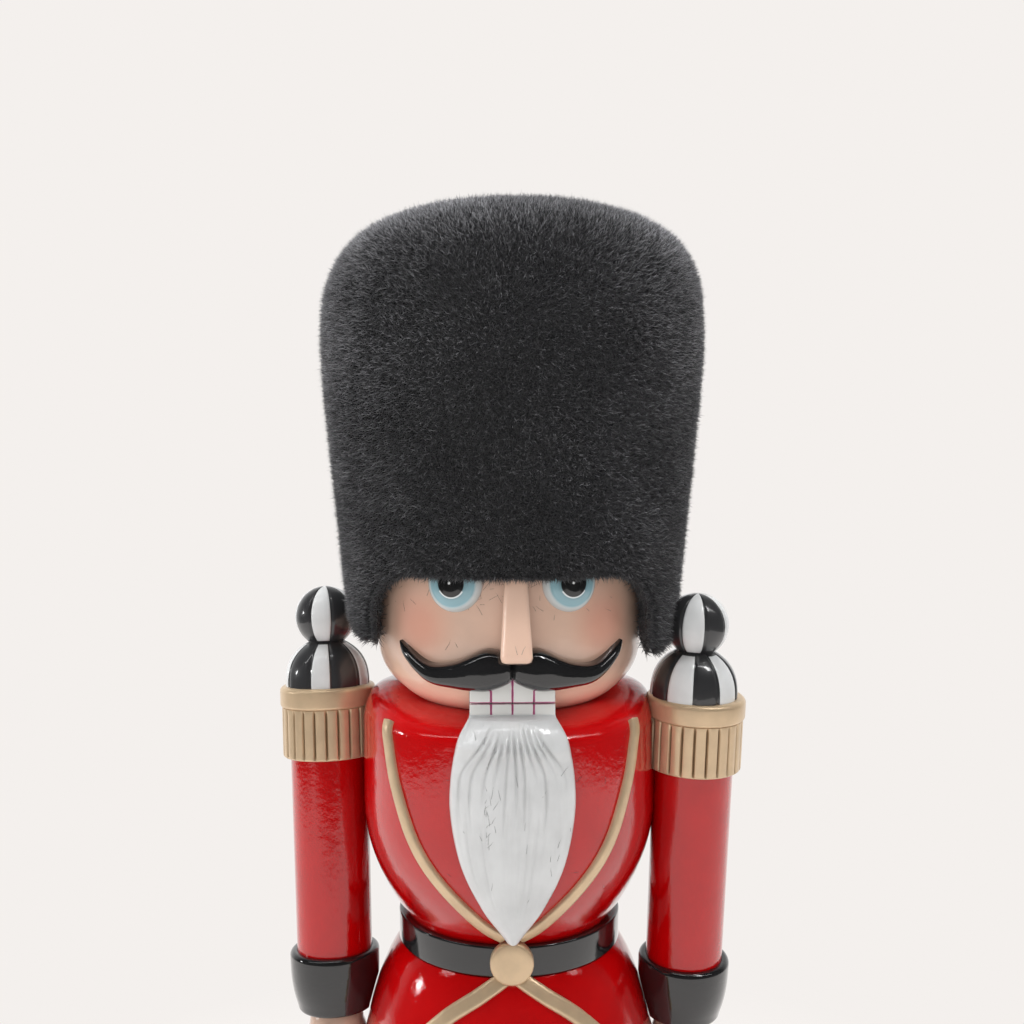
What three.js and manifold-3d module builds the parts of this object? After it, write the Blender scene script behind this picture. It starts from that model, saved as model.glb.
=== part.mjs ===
// Nutcracker soldier: painted castings stacked on a base, a plush hat, and a jaw on a lever.
// Millimetres, +Z up, the front faces -Y, and left and right are the soldier's own (left is +X).
import * as THREE from "three";
import { mergeVertices } from "three/addons/utils/BufferGeometryUtils.js";
import Module from "manifold-3d";

// Gaps, and how far a cut runs past the face that it opens
const GLUE_GAP = 0.3;
const PIN_GAP = 0.2;
const JAW_GAP = 0.6;
const CUT_PAST = 5;

// Base and felt pad
const FELT_THICKNESS = 1.6;
const FELT_INSET = 3;
const BASE_WIDTH = 118;
const BASE_DEPTH = 96;
const BASE_HEIGHT = 16.4;
const BASE_CORNER = 24;
const BASE_BEVEL = 2.4;

// Legs and boots
const LEG_SPREAD = 36;
const LEG_RADIUS = 13;
const LEG_HEIGHT = 96;
const BOOT_RADIUS = 15;
const BOOT_HEIGHT = 52;
const BOOT_BAND_HEIGHT = 4;
const BOOT_BAND_STEP = 1;
const SOLE_ROUND = 1.2;
const FOOT_REACH = 38;
const INSTEP_HEIGHT = 32;
const LEG_ROD_RADIUS = 2.5;
const LEG_ROD_DEPTH = 9;

// Coat, belt and cords
const HEM_RADIUS = 49.3;
const SKIRT_HEIGHT = 43;
const SKIRT_TOP_OVERHANG = 1.8;
const WAIST_RADIUS = 34.4;
const CHEST_RADIUS = 48.2;
const TORSO_HEIGHT = 84;
const SHOULDER_ROUND = 9;
const BELT_HEIGHT = 11;
const BELT_THICKNESS = 2;
const BELT_ROUND = 0.6;
const BELT_TOP_GAP = 1;
const BUCKLE_RADIUS = 6.7;
const BUCKLE_THICKNESS = 2.6;
const CHEST_CORD_WIDTH = 4;
const SKIRT_CORD_WIDTH = 5;
const CORD_THICKNESS = 1.4;
const WAIST_DOWEL_RADIUS = 6;
const WAIST_DOWEL_LENGTH = 24;

// Head and face
const HEAD_RADIUS = 43.7;
const HEAD_HEIGHT = 62.4;
const HEAD_SEAT = 3.4;
const BOWL_HEIGHT = 28;
const EYE_RADIUS = 8;
const EYE_BULGE = 3;
const EYE_ANGLE = 23.2;
const EYE_LEVEL = 41.4;
const NOSE_LEVEL = 20;
const NOSE_WIDTH = 9.4;
const NOSE_BULGE = 9.5;
const MOUSTACHE_LEVEL = 16;
const MOUSTACHE_HEIGHT = 12;
const MOUSTACHE_BULGE = 6;
const NECK_DOWEL_RADIUS = 4;
const NECK_DOWEL_LENGTH = 28;
const NECK_DOWEL_BACK = 24;

// Mouth and jaw
const TEETH_WIDTH = 25.4;
const TEETH_DEPTH = 6;
const TOOTH_HEIGHT = 4;
const UPPER_TEETH_HEIGHT = 7.1;
const MOUTH_LEVEL = 5.8;
const MOUTH_DEPTH = 34;
const JAW_FLOOR_DEPTH = 16.6;
const JAW_PIN_DROP = 46;
const JAW_PIN_RADIUS = 2;
const JAW_PIN_INSET = 1;
const JAW_BOSS_RADIUS = 9;
const BOSS_ROOM = 1;
const CHEST_WALL = 9;
const LEVER_WIDTH = 13;
const HANDLE_WIDTH = 18;
const HANDLE_THICKNESS = 9.5;
const HANDLE_LENGTH = 84;
const HANDLE_STANDOFF = 4.7;
const HANDLE_ROUND = 3;
const BEARD_WIDTH = 37.4;
const BEARD_LENGTH = 65.5;
const BEARD_BULGE = 5.4;
const BEARD_STANDOFF = 1;
const BEARD_TUCK = 2.2;

// Hat
const HAT_RIM_LEVEL = 18.4;
const HAT_HEIGHT = 142;
const HAT_SHIFT = 1;
const HAT_RIM_RADIUS = 54.8;
const HAT_CROWN_RADIUS = 62.9;
const HAT_LINING_SPACE = 3.5;
const FUR_THICKNESS = 8;
const BROW_LEVEL = 43.9;
const FACE_OPENING_WIDTH = 81;
const FACE_OPENING_ROUND = 7;

// Arms
const ARM_LEVEL = 1.9;
const ARM_SINK = 3;
const ARM_TURN = -9.4;
const ARM_LEAN = 3.3;
const ARM_SPLAY = 2.2;
const ARM_LENGTH = 88.8;
const SLEEVE_RADIUS = 13;
const SLEEVE_TAPER = 0.4;
const CAP_RADIUS = 16;
const CAP_HEIGHT = 23.7;
const CAP_RIM_HEIGHT = 7;
const CAP_FLUTES = 24;
const FLUTE_DEPTH = 0.9;
const CAP_SOCKET_DEPTH = 14;
const FINIAL_RADIUS = 14.1;
const FINIAL_NECK_RADIUS = 6;
const FINIAL_NECK_HEIGHT = 14.6;
const FINIAL_BALL_RADIUS = 10.3;
const FINIAL_SEAT_DEPTH = 0.8;
const CUFF_RADIUS = 15;
const CUFF_HEIGHT = 19.7;
const CUFF_SOCKET_DEPTH = 12;
const HAND_RADIUS = 11.8;
const HAND_HEIGHT = 22;
const ARM_DOWEL_RADIUS = 3;
const ARM_DOWEL_DROP = 13;
const ARM_DOWEL_REACH = 7;

// Facets round a large, a middle and a small turned piece
const LARGE = 36;
const MIDDLE = 20;
const SMALL = 12;

// Levels, stacked from the floor
const baseTop = FELT_THICKNESS + BASE_HEIGHT;
const bootTop = baseTop + BOOT_HEIGHT;
const hem = baseTop + LEG_HEIGHT;
const waist = hem + SKIRT_HEIGHT;
const beltTop = waist + BELT_HEIGHT;
const torsoTop = waist + TORSO_HEIGHT;
const chin = torsoTop - HEAD_SEAT;
const headTop = chin + HEAD_HEIGHT;
const brow = chin + BROW_LEVEL;
const eyeLine = chin + EYE_LEVEL;
const teethLine = chin + MOUTH_LEVEL;
const palate = teethLine + UPPER_TEETH_HEIGHT + GLUE_GAP;
const jawFloor = teethLine - TOOTH_HEIGHT - GLUE_GAP;
const pinLevel = torsoTop - JAW_PIN_DROP;
const hatRim = chin + HAT_RIM_LEVEL;
const hatTop = hatRim + HAT_HEIGHT;
const armTop = torsoTop - ARM_LEVEL;
const slotHalf = TEETH_WIDTH / 2 + JAW_GAP;
const leverSlotHalf = LEVER_WIDTH / 2 + JAW_GAP;

const radians = THREE.MathUtils.degToRad;
const lerp = THREE.MathUtils.lerp;
const wasm = await Module();
wasm.setup();

const paint = (color, roughness, metalness = 0) =>
  new THREE.MeshStandardMaterial({ color, roughness, metalness });
const RED = paint(0xb40608, 0.15);
const SKIN = paint(0xd2a78c, 0.25);
const GOLD = paint(0xc6a877, 0.35, 0.6);
const BLACK = paint(0x141416, 0.15);
const WHITE = paint(0xe6e4e2, 0.3);
const TOOTH = paint(0xdcd9d2, 0.25);
const FUR = paint(0x2c2c2f, 1);
const FOAM = paint(0xcfcbb8, 0.9);
const FELT = paint(0x1f2a22, 1);
const STEEL = paint(0x9a9da1, 0.35, 1);
const WOOD = paint(0xb98e5e, 0.7);

// A geometry as a closed solid, without the triangles that collapse on the axis of a turned piece
function solidOf(geometry) {
  const bare = geometry.clone();
  bare.deleteAttribute("normal");
  bare.deleteAttribute("uv");
  const merged = mergeVertices(bare, 1e-4);
  const index = merged.index.array;
  const kept = [];
  for (let i = 0; i < index.length; i += 3) {
    const [a, b, c] = index.slice(i, i + 3);
    if (a !== b && b !== c && a !== c) {
      kept.push(a, b, c);
    }
  }
  const mesh = new wasm.Mesh({
    numProp: 3,
    vertProperties: merged.attributes.position.array,
    triVerts: new Uint32Array(kept),
  });
  return new wasm.Manifold(mesh);
}

function geometryOf(solid) {
  const mesh = solid.getMesh();
  const geometry = new THREE.BufferGeometry();
  geometry.setAttribute("position", new THREE.BufferAttribute(mesh.vertProperties, 3));
  geometry.setIndex(new THREE.BufferAttribute(mesh.triVerts, 1));
  return geometry;
}

function cut(geometry, ...tools) {
  const solid = tools.reduce((rest, tool) => rest.subtract(solidOf(tool)), solidOf(geometry));
  return geometryOf(solid);
}

function join(geometry, ...others) {
  const solid = others.reduce((sum, other) => sum.add(solidOf(other)), solidOf(geometry));
  return geometryOf(solid);
}

// A profile of radius and height, turned round the vertical axis
function turned(points, sides) {
  return new THREE.LatheGeometry(points, sides).rotateX(Math.PI / 2);
}

function box(x0, x1, y0, y1, z0, z1) {
  const geometry = new THREE.BoxGeometry(x1 - x0, y1 - y0, z1 - z0);
  return geometry.translate((x0 + x1) / 2, (y0 + y1) / 2, (z0 + z1) / 2);
}

// A round plug on the axis, with as many facets as the middle-sized castings that seat in its socket
function plug(radius, z0, z1) {
  const corners = [[0, z0], [radius, z0], [radius, z1], [0, z1]];
  return turned(corners.map(([r, z]) => new THREE.Vector2(r, z)), MIDDLE);
}

function uprightRod(radius, x, y, z0, z1) {
  const geometry = new THREE.CylinderGeometry(radius, radius, z1 - z0, SMALL);
  return geometry.rotateX(Math.PI / 2).translate(x, y, (z0 + z1) / 2);
}

function crossRod(radius, x0, x1, y, z) {
  const geometry = new THREE.CylinderGeometry(radius, radius, x1 - x0, SMALL);
  return geometry.rotateZ(Math.PI / 2).translate((x0 + x1) / 2, y, z);
}

// An outline of depth and height, made into a board that is centred on the middle plane
function board(outline, width) {
  const shape = new THREE.Shape(outline.map(([y, z]) => new THREE.Vector2(y, z)));
  const geometry = new THREE.ExtrudeGeometry(shape, { depth: width, bevelEnabled: false });
  geometry.translate(0, 0, -width / 2);
  const across = new THREE.Matrix4().makeBasis(
    new THREE.Vector3(0, 1, 0),
    new THREE.Vector3(0, 0, 1),
    new THREE.Vector3(1, 0, 0),
  );
  return geometry.applyMatrix4(across);
}

// Rings of points joined in order, closed with a fan at each end; each ring turns left about the way ahead
function loft(rings) {
  const size = rings[0].length;
  const positions = rings.flat().flatMap((p) => [p.x, p.y, p.z]);
  const index = [];
  for (let i = 0; i + 1 < rings.length; i += 1) {
    for (let j = 0; j < size; j += 1) {
      const a = i * size + j;
      const b = i * size + ((j + 1) % size);
      index.push(a, b, b + size, a, b + size, a + size);
    }
  }
  for (const [ring, order] of [[0, -1], [rings.length - 1, 1]]) {
    const middle = rings[ring].reduce((sum, p) => sum.add(p), new THREE.Vector3());
    middle.divideScalar(size);
    const centre = positions.length / 3;
    positions.push(middle.x, middle.y, middle.z);
    for (let j = 0; j < size; j += 1) {
      const a = ring * size + j;
      const b = ring * size + ((j + 1) % size);
      index.push(centre, order > 0 ? a : b, order > 0 ? b : a);
    }
  }
  const geometry = new THREE.BufferGeometry();
  geometry.setAttribute("position", new THREE.Float32BufferAttribute(positions, 3));
  geometry.setIndex(index);
  return geometry;
}

// The radius of a turned profile at a height
function radiusAt(points, z) {
  for (let i = 0; i + 1 < points.length; i += 1) {
    const [low, high] = [points[i], points[i + 1]];
    if (low.y <= z && z <= high.y && high.y > low.y) {
      return lerp(low.x, high.x, (z - low.y) / (high.y - low.y));
    }
  }
  throw new Error("no radius at " + z);
}

// A point at an angle round the axis, counted from the front towards the soldier's left
function around(radius, angle, z) {
  return new THREE.Vector3(radius * Math.sin(angle), -radius * Math.cos(angle), z);
}

function mesh(name, geometry, material) {
  const piece = new THREE.Mesh(geometry, material);
  piece.name = name;
  return piece;
}

// Profiles of the turned castings; a tool to cut a seat has the same profile, grown by the gap
function skirtProfile(grow) {
  const path = new THREE.Path();
  const top = WAIST_RADIUS + SKIRT_TOP_OVERHANG;
  path.moveTo(0, hem - grow);
  path.lineTo(HEM_RADIUS + grow, hem - grow);
  path.bezierCurveTo(
    HEM_RADIUS - 0.7 + grow,
    hem + 0.37 * SKIRT_HEIGHT,
    lerp(top, HEM_RADIUS, 0.48) + grow,
    hem + 0.84 * SKIRT_HEIGHT,
    top + grow,
    waist + grow,
  );
  path.lineTo(0, waist + grow);
  return path.getPoints(6);
}

function torsoProfile() {
  const path = new THREE.Path();
  const start = beltTop - BELT_TOP_GAP;
  path.moveTo(0, waist);
  path.lineTo(WAIST_RADIUS, waist);
  path.lineTo(WAIST_RADIUS, start);
  path.bezierCurveTo(
    lerp(WAIST_RADIUS, CHEST_RADIUS, 0.57),
    start + 0.13 * TORSO_HEIGHT,
    CHEST_RADIUS,
    start + 0.27 * TORSO_HEIGHT,
    CHEST_RADIUS,
    start + 0.47 * TORSO_HEIGHT,
  );
  path.lineTo(CHEST_RADIUS, torsoTop - SHOULDER_ROUND);
  path.quadraticCurveTo(CHEST_RADIUS, torsoTop, CHEST_RADIUS - SHOULDER_ROUND, torsoTop);
  path.lineTo(0, torsoTop);
  return path.getPoints(6);
}

function headProfile(grow) {
  const path = new THREE.Path();
  const radius = HEAD_RADIUS + grow;
  path.moveTo(0, chin - grow);
  path.bezierCurveTo(
    0.85 * radius,
    chin - grow,
    radius,
    chin + 0.3 * BOWL_HEIGHT,
    radius,
    chin + BOWL_HEIGHT,
  );
  path.lineTo(radius, headTop - 4);
  path.lineTo(radius - 4, headTop + grow);
  path.lineTo(0, headTop + grow);
  return path.getPoints(7);
}

const torsoOutline = torsoProfile();
const skirtOutline = skirtProfile(0);
const headSeat = turned(headProfile(GLUE_GAP), LARGE);
const skirtSeat = turned(skirtProfile(GLUE_GAP), LARGE);

// Arms: one casting set used twice, half a turn apart and a few degrees round from the coat's sides, with
// each shoulder cap sunk a little into the coat
const splay = radians(ARM_SPLAY);
const capReach = CAP_RADIUS / Math.cos(splay) + CAP_HEIGHT * Math.sin(splay);
const armReach = CHEST_RADIUS + GLUE_GAP + capReach - ARM_SINK;

function armPlace(turn) {
  const shoulder = new THREE.Group();
  shoulder.rotation.z = radians(ARM_TURN) + turn;
  const arm = new THREE.Group();
  arm.position.set(armReach, 0, armTop);
  arm.rotation.set(radians(ARM_LEAN), splay, 0);
  shoulder.add(arm);
  shoulder.updateMatrixWorld(true);
  return { shoulder, arm };
}

function finial(grow) {
  const path = new THREE.Path();
  const start = GLUE_GAP - FINIAL_SEAT_DEPTH;
  const radius = FINIAL_RADIUS + grow;
  const neck = FINIAL_NECK_RADIUS + grow;
  const ball = FINIAL_BALL_RADIUS + grow;
  const angle = Math.acos(neck / ball);
  path.moveTo(0, start);
  path.lineTo(radius, start);
  path.bezierCurveTo(
    radius + 0.4,
    0.55 * FINIAL_NECK_HEIGHT,
    lerp(neck, radius, 0.6),
    0.82 * FINIAL_NECK_HEIGHT,
    neck,
    FINIAL_NECK_HEIGHT,
  );
  path.absarc(0, FINIAL_NECK_HEIGHT + ball * Math.sin(angle), ball, -angle, Math.PI / 2, false);
  return turned(path.getPoints(5), MIDDLE);
}

// The hollow in the coat that a shoulder cap is sunk into
function capSeat() {
  return plug(CAP_RADIUS + GLUE_GAP, -CAP_HEIGHT - GLUE_GAP, CUT_PAST);
}

function armDowel(grow) {
  const inner = -CAP_RADIUS - ARM_DOWEL_REACH - grow;
  const outer = -CAP_RADIUS + ARM_DOWEL_REACH + grow;
  return crossRod(ARM_DOWEL_RADIUS + grow, inner, outer, 0, -ARM_DOWEL_DROP);
}

// A plain rim over a ring of flutes, with sockets for the sleeve and the finial
function shoulderCap() {
  const rim = new THREE.Path();
  const band = CAP_RIM_HEIGHT;
  rim.moveTo(0, -band);
  rim.lineTo(CAP_RADIUS - 1, -band);
  rim.quadraticCurveTo(CAP_RADIUS, -band, CAP_RADIUS, -0.8 * band);
  rim.lineTo(CAP_RADIUS, -0.3 * band);
  rim.quadraticCurveTo(CAP_RADIUS, 0, CAP_RADIUS - 1.1, 0);
  rim.lineTo(0, 0);
  const outline = [];
  for (let i = 0; i < CAP_FLUTES; i += 1) {
    for (const [step, inset] of [[0.05, 0], [0.8, 0], [0.92, FLUTE_DEPTH]]) {
      const angle = ((i + step) / CAP_FLUTES) * 2 * Math.PI;
      const radius = CAP_RADIUS - 0.6 - inset;
      outline.push(new THREE.Vector2(radius * Math.cos(angle), radius * Math.sin(angle)));
    }
  }
  const flutes = new THREE.ExtrudeGeometry(new THREE.Shape(outline), {
    depth: CAP_HEIGHT - 0.5 * band,
    bevelEnabled: false,
  });
  flutes.translate(0, 0, -CAP_HEIGHT);
  const socket = SLEEVE_RADIUS + GLUE_GAP;
  const seat = FINIAL_RADIUS + GLUE_GAP;
  return cut(
    join(turned(rim.getPoints(3), MIDDLE), flutes),
    plug(socket, -CAP_HEIGHT - CUT_PAST, CAP_SOCKET_DEPTH - CAP_HEIGHT),
    plug(seat, -FINIAL_SEAT_DEPTH, CUT_PAST),
    armDowel(PIN_GAP),
  );
}

function sleeve() {
  const top = CAP_SOCKET_DEPTH - CAP_HEIGHT - GLUE_GAP;
  const bottom = -ARM_LENGTH - CUFF_SOCKET_DEPTH + GLUE_GAP;
  const profile = [
    [0, bottom],
    [SLEEVE_RADIUS - SLEEVE_TAPER, bottom],
    [SLEEVE_RADIUS - SLEEVE_TAPER, -ARM_LENGTH],
    [SLEEVE_RADIUS, -CAP_HEIGHT],
    [SLEEVE_RADIUS, top],
    [0, top],
  ];
  return cut(
    turned(profile.map(([r, z]) => new THREE.Vector2(r, z)), MIDDLE),
    armDowel(PIN_GAP),
  );
}

// A cuff with a flat ledge on top that narrows to the wrist
function cuff(arm) {
  const path = new THREE.Path();
  const top = -ARM_LENGTH;
  const bottom = top - CUFF_HEIGHT;
  const wrist = lerp(HAND_RADIUS, CUFF_RADIUS, 0.2);
  path.moveTo(0, bottom);
  path.lineTo(wrist - 1.5, bottom);
  path.quadraticCurveTo(wrist, bottom, wrist + 0.4, bottom + 2);
  path.quadraticCurveTo(CUFF_RADIUS - 0.3, bottom + 0.55 * CUFF_HEIGHT, CUFF_RADIUS, top - 4);
  path.quadraticCurveTo(CUFF_RADIUS + 0.1, top, CUFF_RADIUS - 1.4, top);
  path.lineTo(0, top);
  const socket = SLEEVE_RADIUS - SLEEVE_TAPER + GLUE_GAP;
  return cut(
    turned(path.getPoints(3), MIDDLE),
    plug(socket, top - CUFF_SOCKET_DEPTH, top + CUT_PAST),
    skirtSeat.clone().applyMatrix4(arm.matrixWorld.clone().invert()),
  );
}

// A fist with a thumb on its front, flattened where it rests on the skirt
function hand(arm, front) {
  const path = new THREE.Path();
  const top = -ARM_LENGTH - CUFF_HEIGHT - GLUE_GAP;
  const bottom = top - HAND_HEIGHT;
  const wrist = lerp(HAND_RADIUS, CUFF_RADIUS, 0.2) - 1.8;
  path.moveTo(0, bottom);
  path.bezierCurveTo(
    0.8 * HAND_RADIUS,
    bottom,
    1.1 * HAND_RADIUS,
    bottom + 0.45 * HAND_HEIGHT,
    HAND_RADIUS,
    bottom + 0.65 * HAND_HEIGHT,
  );
  path.lineTo(wrist, top);
  path.lineTo(0, top);
  const thumb = new THREE.SphereGeometry(1, 10, 6);
  thumb.scale(0.3 * HAND_RADIUS, 0.35 * HAND_RADIUS, 0.34 * HAND_HEIGHT);
  thumb.translate(-0.15 * HAND_RADIUS, -0.9 * HAND_RADIUS * front, bottom + 0.55 * HAND_HEIGHT);
  return cut(
    join(turned(path.getPoints(5), MIDDLE), thumb),
    skirtSeat.clone().applyMatrix4(arm.matrixWorld.clone().invert()),
  );
}

function fillArm(side, place, front) {
  const { shoulder, arm } = place;
  arm.add(mesh(side + "_shoulder_cap", shoulderCap(), GOLD));
  arm.add(mesh(side + "_finial", finial(0), WHITE));
  arm.add(mesh(side + "_sleeve", sleeve(), RED));
  arm.add(mesh(side + "_cuff", cuff(arm), BLACK));
  arm.add(mesh(side + "_hand", hand(arm, front), SKIN));
  arm.add(mesh(side + "_arm_dowel", armDowel(0), WOOD));
  return shoulder;
}

// Base, felt pad, legs and boots
function roundedOblong(width, depth, corner) {
  const [x, y] = [width / 2 - corner, depth / 2 - corner];
  const shape = new THREE.Shape();
  shape.absarc(x, y, corner, 0, Math.PI / 2, false);
  shape.absarc(-x, y, corner, Math.PI / 2, Math.PI, false);
  shape.absarc(-x, -y, corner, Math.PI, 1.5 * Math.PI, false);
  shape.absarc(x, -y, corner, 1.5 * Math.PI, 2 * Math.PI, false);
  return shape;
}

function legRod(side, grow) {
  return uprightRod(
    LEG_ROD_RADIUS + grow,
    (side * LEG_SPREAD) / 2,
    0,
    baseTop - LEG_ROD_DEPTH - grow,
    hem + 1.5 * LEG_ROD_DEPTH + grow,
  );
}

function basePlinth() {
  const shape = roundedOblong(BASE_WIDTH, BASE_DEPTH, BASE_CORNER);
  const block = new THREE.ExtrudeGeometry(shape, {
    depth: BASE_HEIGHT - 2 * BASE_BEVEL,
    bevelThickness: BASE_BEVEL,
    bevelSize: BASE_BEVEL,
    bevelOffset: -BASE_BEVEL,
    bevelSegments: 2,
    curveSegments: 5,
  });
  block.translate(0, 0, FELT_THICKNESS + BASE_BEVEL);
  return cut(block, legRod(1, PIN_GAP), legRod(-1, PIN_GAP));
}

function feltPad() {
  const shape = roundedOblong(
    BASE_WIDTH - 2 * (BASE_BEVEL + FELT_INSET),
    BASE_DEPTH - 2 * (BASE_BEVEL + FELT_INSET),
    BASE_CORNER - FELT_INSET,
  );
  return new THREE.ExtrudeGeometry(shape, {
    depth: FELT_THICKNESS,
    bevelEnabled: false,
    curveSegments: 5,
  });
}

// Ovals that run from the sole, with the toe ahead, to the round shaft
function boot(side) {
  const rings = [];
  const steps = [0, 0.04, 0.12, 0.3, 0.5, 0.7, 0.85, 1];
  const levels = steps.map((step) => [step * INSTEP_HEIGHT, FOOT_REACH, step]);
  levels.push([BOOT_HEIGHT - BOOT_BAND_HEIGHT - BOOT_BAND_STEP, BOOT_RADIUS, 1]);
  levels.push([BOOT_HEIGHT - BOOT_BAND_HEIGHT, BOOT_RADIUS + BOOT_BAND_STEP, 1]);
  levels.push([BOOT_HEIGHT, BOOT_RADIUS + BOOT_BAND_STEP, 1]);
  for (const [height, reach, step] of levels) {
    const ease = Math.sqrt(1 - Math.min(step, 1) ** 2);
    const shaft = height > INSTEP_HEIGHT ? reach : BOOT_RADIUS;
    const inset = step === 0 ? SOLE_ROUND : 0;
    const front = lerp(shaft, FOOT_REACH, ease) - inset;
    const half = shaft - inset;
    const ring = [];
    for (let i = 0; i < MIDDLE; i += 1) {
      const angle = (i / MIDDLE) * 2 * Math.PI;
      const y = Math.sin(angle);
      ring.push(
        new THREE.Vector3(
          (side * LEG_SPREAD) / 2 + half * Math.cos(angle),
          y < 0 ? y * front : y * half,
          baseTop + height,
        ),
      );
    }
    rings.push(ring);
  }
  return cut(loft(rings), legRod(side, PIN_GAP));
}

function leg(side) {
  const trouser = new THREE.CylinderGeometry(LEG_RADIUS, LEG_RADIUS, hem - bootTop, MIDDLE);
  trouser.rotateX(Math.PI / 2);
  trouser.translate((side * LEG_SPREAD) / 2, 0, (hem + bootTop) / 2);
  return cut(trouser, legRod(side, PIN_GAP));
}

// Coat: skirt, torso with the jaw's slots, belt, buckle and cords
function waistDowel(grow) {
  const half = WAIST_DOWEL_LENGTH / 2 + grow;
  return uprightRod(WAIST_DOWEL_RADIUS + grow, 0, 0, waist - half, waist + half);
}

function neckDowel(grow) {
  const middle = torsoTop - HEAD_SEAT / 2;
  const half = NECK_DOWEL_LENGTH / 2 + grow;
  return uprightRod(NECK_DOWEL_RADIUS + grow, 0, NECK_DOWEL_BACK, middle - half, middle + half);
}

// The pin ends a little inside the coat, and its bore runs right through
function jawPin() {
  const half = radiusAt(torsoOutline, pinLevel) - JAW_PIN_INSET;
  return crossRod(JAW_PIN_RADIUS, -half, half, 0, pinLevel);
}

function jawPinBore() {
  const half = CHEST_RADIUS + CUT_PAST;
  return crossRod(JAW_PIN_RADIUS + PIN_GAP, -half, half, 0, pinLevel);
}

function torso(arms) {
  const wideBottom = pinLevel + 0.35 * JAW_PIN_DROP;
  const outside = CHEST_RADIUS + CUT_PAST;
  const above = torsoTop + CUT_PAST;
  const under = pinLevel - JAW_BOSS_RADIUS - BOSS_ROOM;
  const wide = box(-slotHalf, slotHalf, -outside, JAW_GAP - MOUTH_DEPTH / 3, wideBottom, above);
  const narrow = box(
    -leverSlotHalf,
    leverSlotHalf,
    CHEST_WALL - CHEST_RADIUS,
    JAW_BOSS_RADIUS + BOSS_ROOM,
    under,
    above,
  );
  const rear = box(-leverSlotHalf, leverSlotHalf, 0, outside, under, pinLevel + 2.6 * JAW_BOSS_RADIUS);
  return cut(
    turned(torsoOutline, LARGE),
    headSeat,
    wide,
    narrow,
    rear,
    jawPinBore(),
    waistDowel(PIN_GAP),
    neckDowel(PIN_GAP),
    ...arms.map(({ arm }) => armDowel(PIN_GAP).applyMatrix4(arm.matrixWorld)),
    ...arms.map(({ arm }) => capSeat().applyMatrix4(arm.matrixWorld)),
  );
}

function belt() {
  const path = new THREE.Path();
  const inner = WAIST_RADIUS + GLUE_GAP;
  const outer = inner + BELT_THICKNESS;
  const bottom = waist + GLUE_GAP;
  const top = beltTop - BELT_TOP_GAP;
  path.moveTo(inner, bottom);
  path.lineTo(outer - BELT_ROUND, bottom);
  path.quadraticCurveTo(outer, bottom, outer, bottom + BELT_ROUND);
  path.lineTo(outer, top - BELT_ROUND);
  path.quadraticCurveTo(outer, top, outer - BELT_ROUND, top);
  path.lineTo(inner, top);
  path.lineTo(inner, bottom);
  return turned(path.getPoints(2), LARGE);
}

const beltOuter = WAIST_RADIUS + GLUE_GAP + BELT_THICKNESS;

// A round plate whose back is hollowed to the belt
function buckle() {
  const path = new THREE.Path();
  const depth = BUCKLE_THICKNESS + 2;
  path.moveTo(0, 0);
  path.lineTo(BUCKLE_RADIUS, 0);
  path.lineTo(BUCKLE_RADIUS, depth - 0.7);
  path.quadraticCurveTo(BUCKLE_RADIUS, depth, BUCKLE_RADIUS - 0.8, depth);
  path.lineTo(0, depth);
  const plate = turned(path.getPoints(3), MIDDLE);
  plate.rotateX(Math.PI / 2);
  plate.translate(0, 2 - beltOuter, (waist + beltTop) / 2);
  const seat = new THREE.CylinderGeometry(
    beltOuter + GLUE_GAP,
    beltOuter + GLUE_GAP,
    4 * BUCKLE_RADIUS,
    LARGE,
  );
  seat.rotateX(Math.PI / 2);
  seat.translate(0, 0, (waist + beltTop) / 2);
  return cut(plate, seat);
}

// A raised cord on a turned surface, through points of an angle in degrees and a height
function cord(outline, side, width, stops) {
  const route = new THREE.SplineCurve(
    stops.map(([angle, z]) => new THREE.Vector2(side * radians(angle), z)),
  );
  const on = (t) => {
    const p = route.getPoint(t);
    return around(radiusAt(outline, p.y), p.x, p.y);
  };
  const rings = [];
  const steps = 14;
  for (let i = 0; i <= steps; i += 1) {
    const t = i / steps;
    const p = on(t);
    const ahead = on(Math.min(t + 0.01, 1)).sub(on(Math.max(t - 0.01, 0))).normalize();
    const slope = radiusAt(outline, p.z + 0.4) - radiusAt(outline, p.z - 0.4);
    const radius = Math.hypot(p.x, p.y);
    const out = new THREE.Vector3(p.x / radius, p.y / radius, -slope / 0.8).normalize();
    const over = new THREE.Vector3().crossVectors(ahead, out).normalize();
    const high = GLUE_GAP + CORD_THICKNESS;
    const corners = [[high, -0.3], [high, 0.3], [0.7 * high, 0.5], [GLUE_GAP, 0.5]];
    corners.push([GLUE_GAP, -0.5], [0.7 * high, -0.5]);
    rings.push(
      corners.map(([h, w]) => p.clone().addScaledVector(out, h).addScaledVector(over, w * width)),
    );
  }
  const half = CHEST_RADIUS + HEM_RADIUS;
  const farSide = side > 0 ? [-half, GLUE_GAP / 2] : [-GLUE_GAP / 2, half];
  return cut(loft(rings), box(...farSide, -half, half, 0, hatTop));
}

function chestCord(side) {
  const stops = [
    [52.6, torsoTop - 0.42 * SHOULDER_ROUND],
    [51.2, torsoTop - 0.13 * TORSO_HEIGHT],
    [46.5, torsoTop - 0.3 * TORSO_HEIGHT],
    [34, torsoTop - 0.55 * TORSO_HEIGHT],
    [15, torsoTop - 0.77 * TORSO_HEIGHT],
    [4, beltTop + 0.55 * CHEST_CORD_WIDTH],
  ];
  return cord(torsoOutline, side, CHEST_CORD_WIDTH, stops);
}

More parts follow.
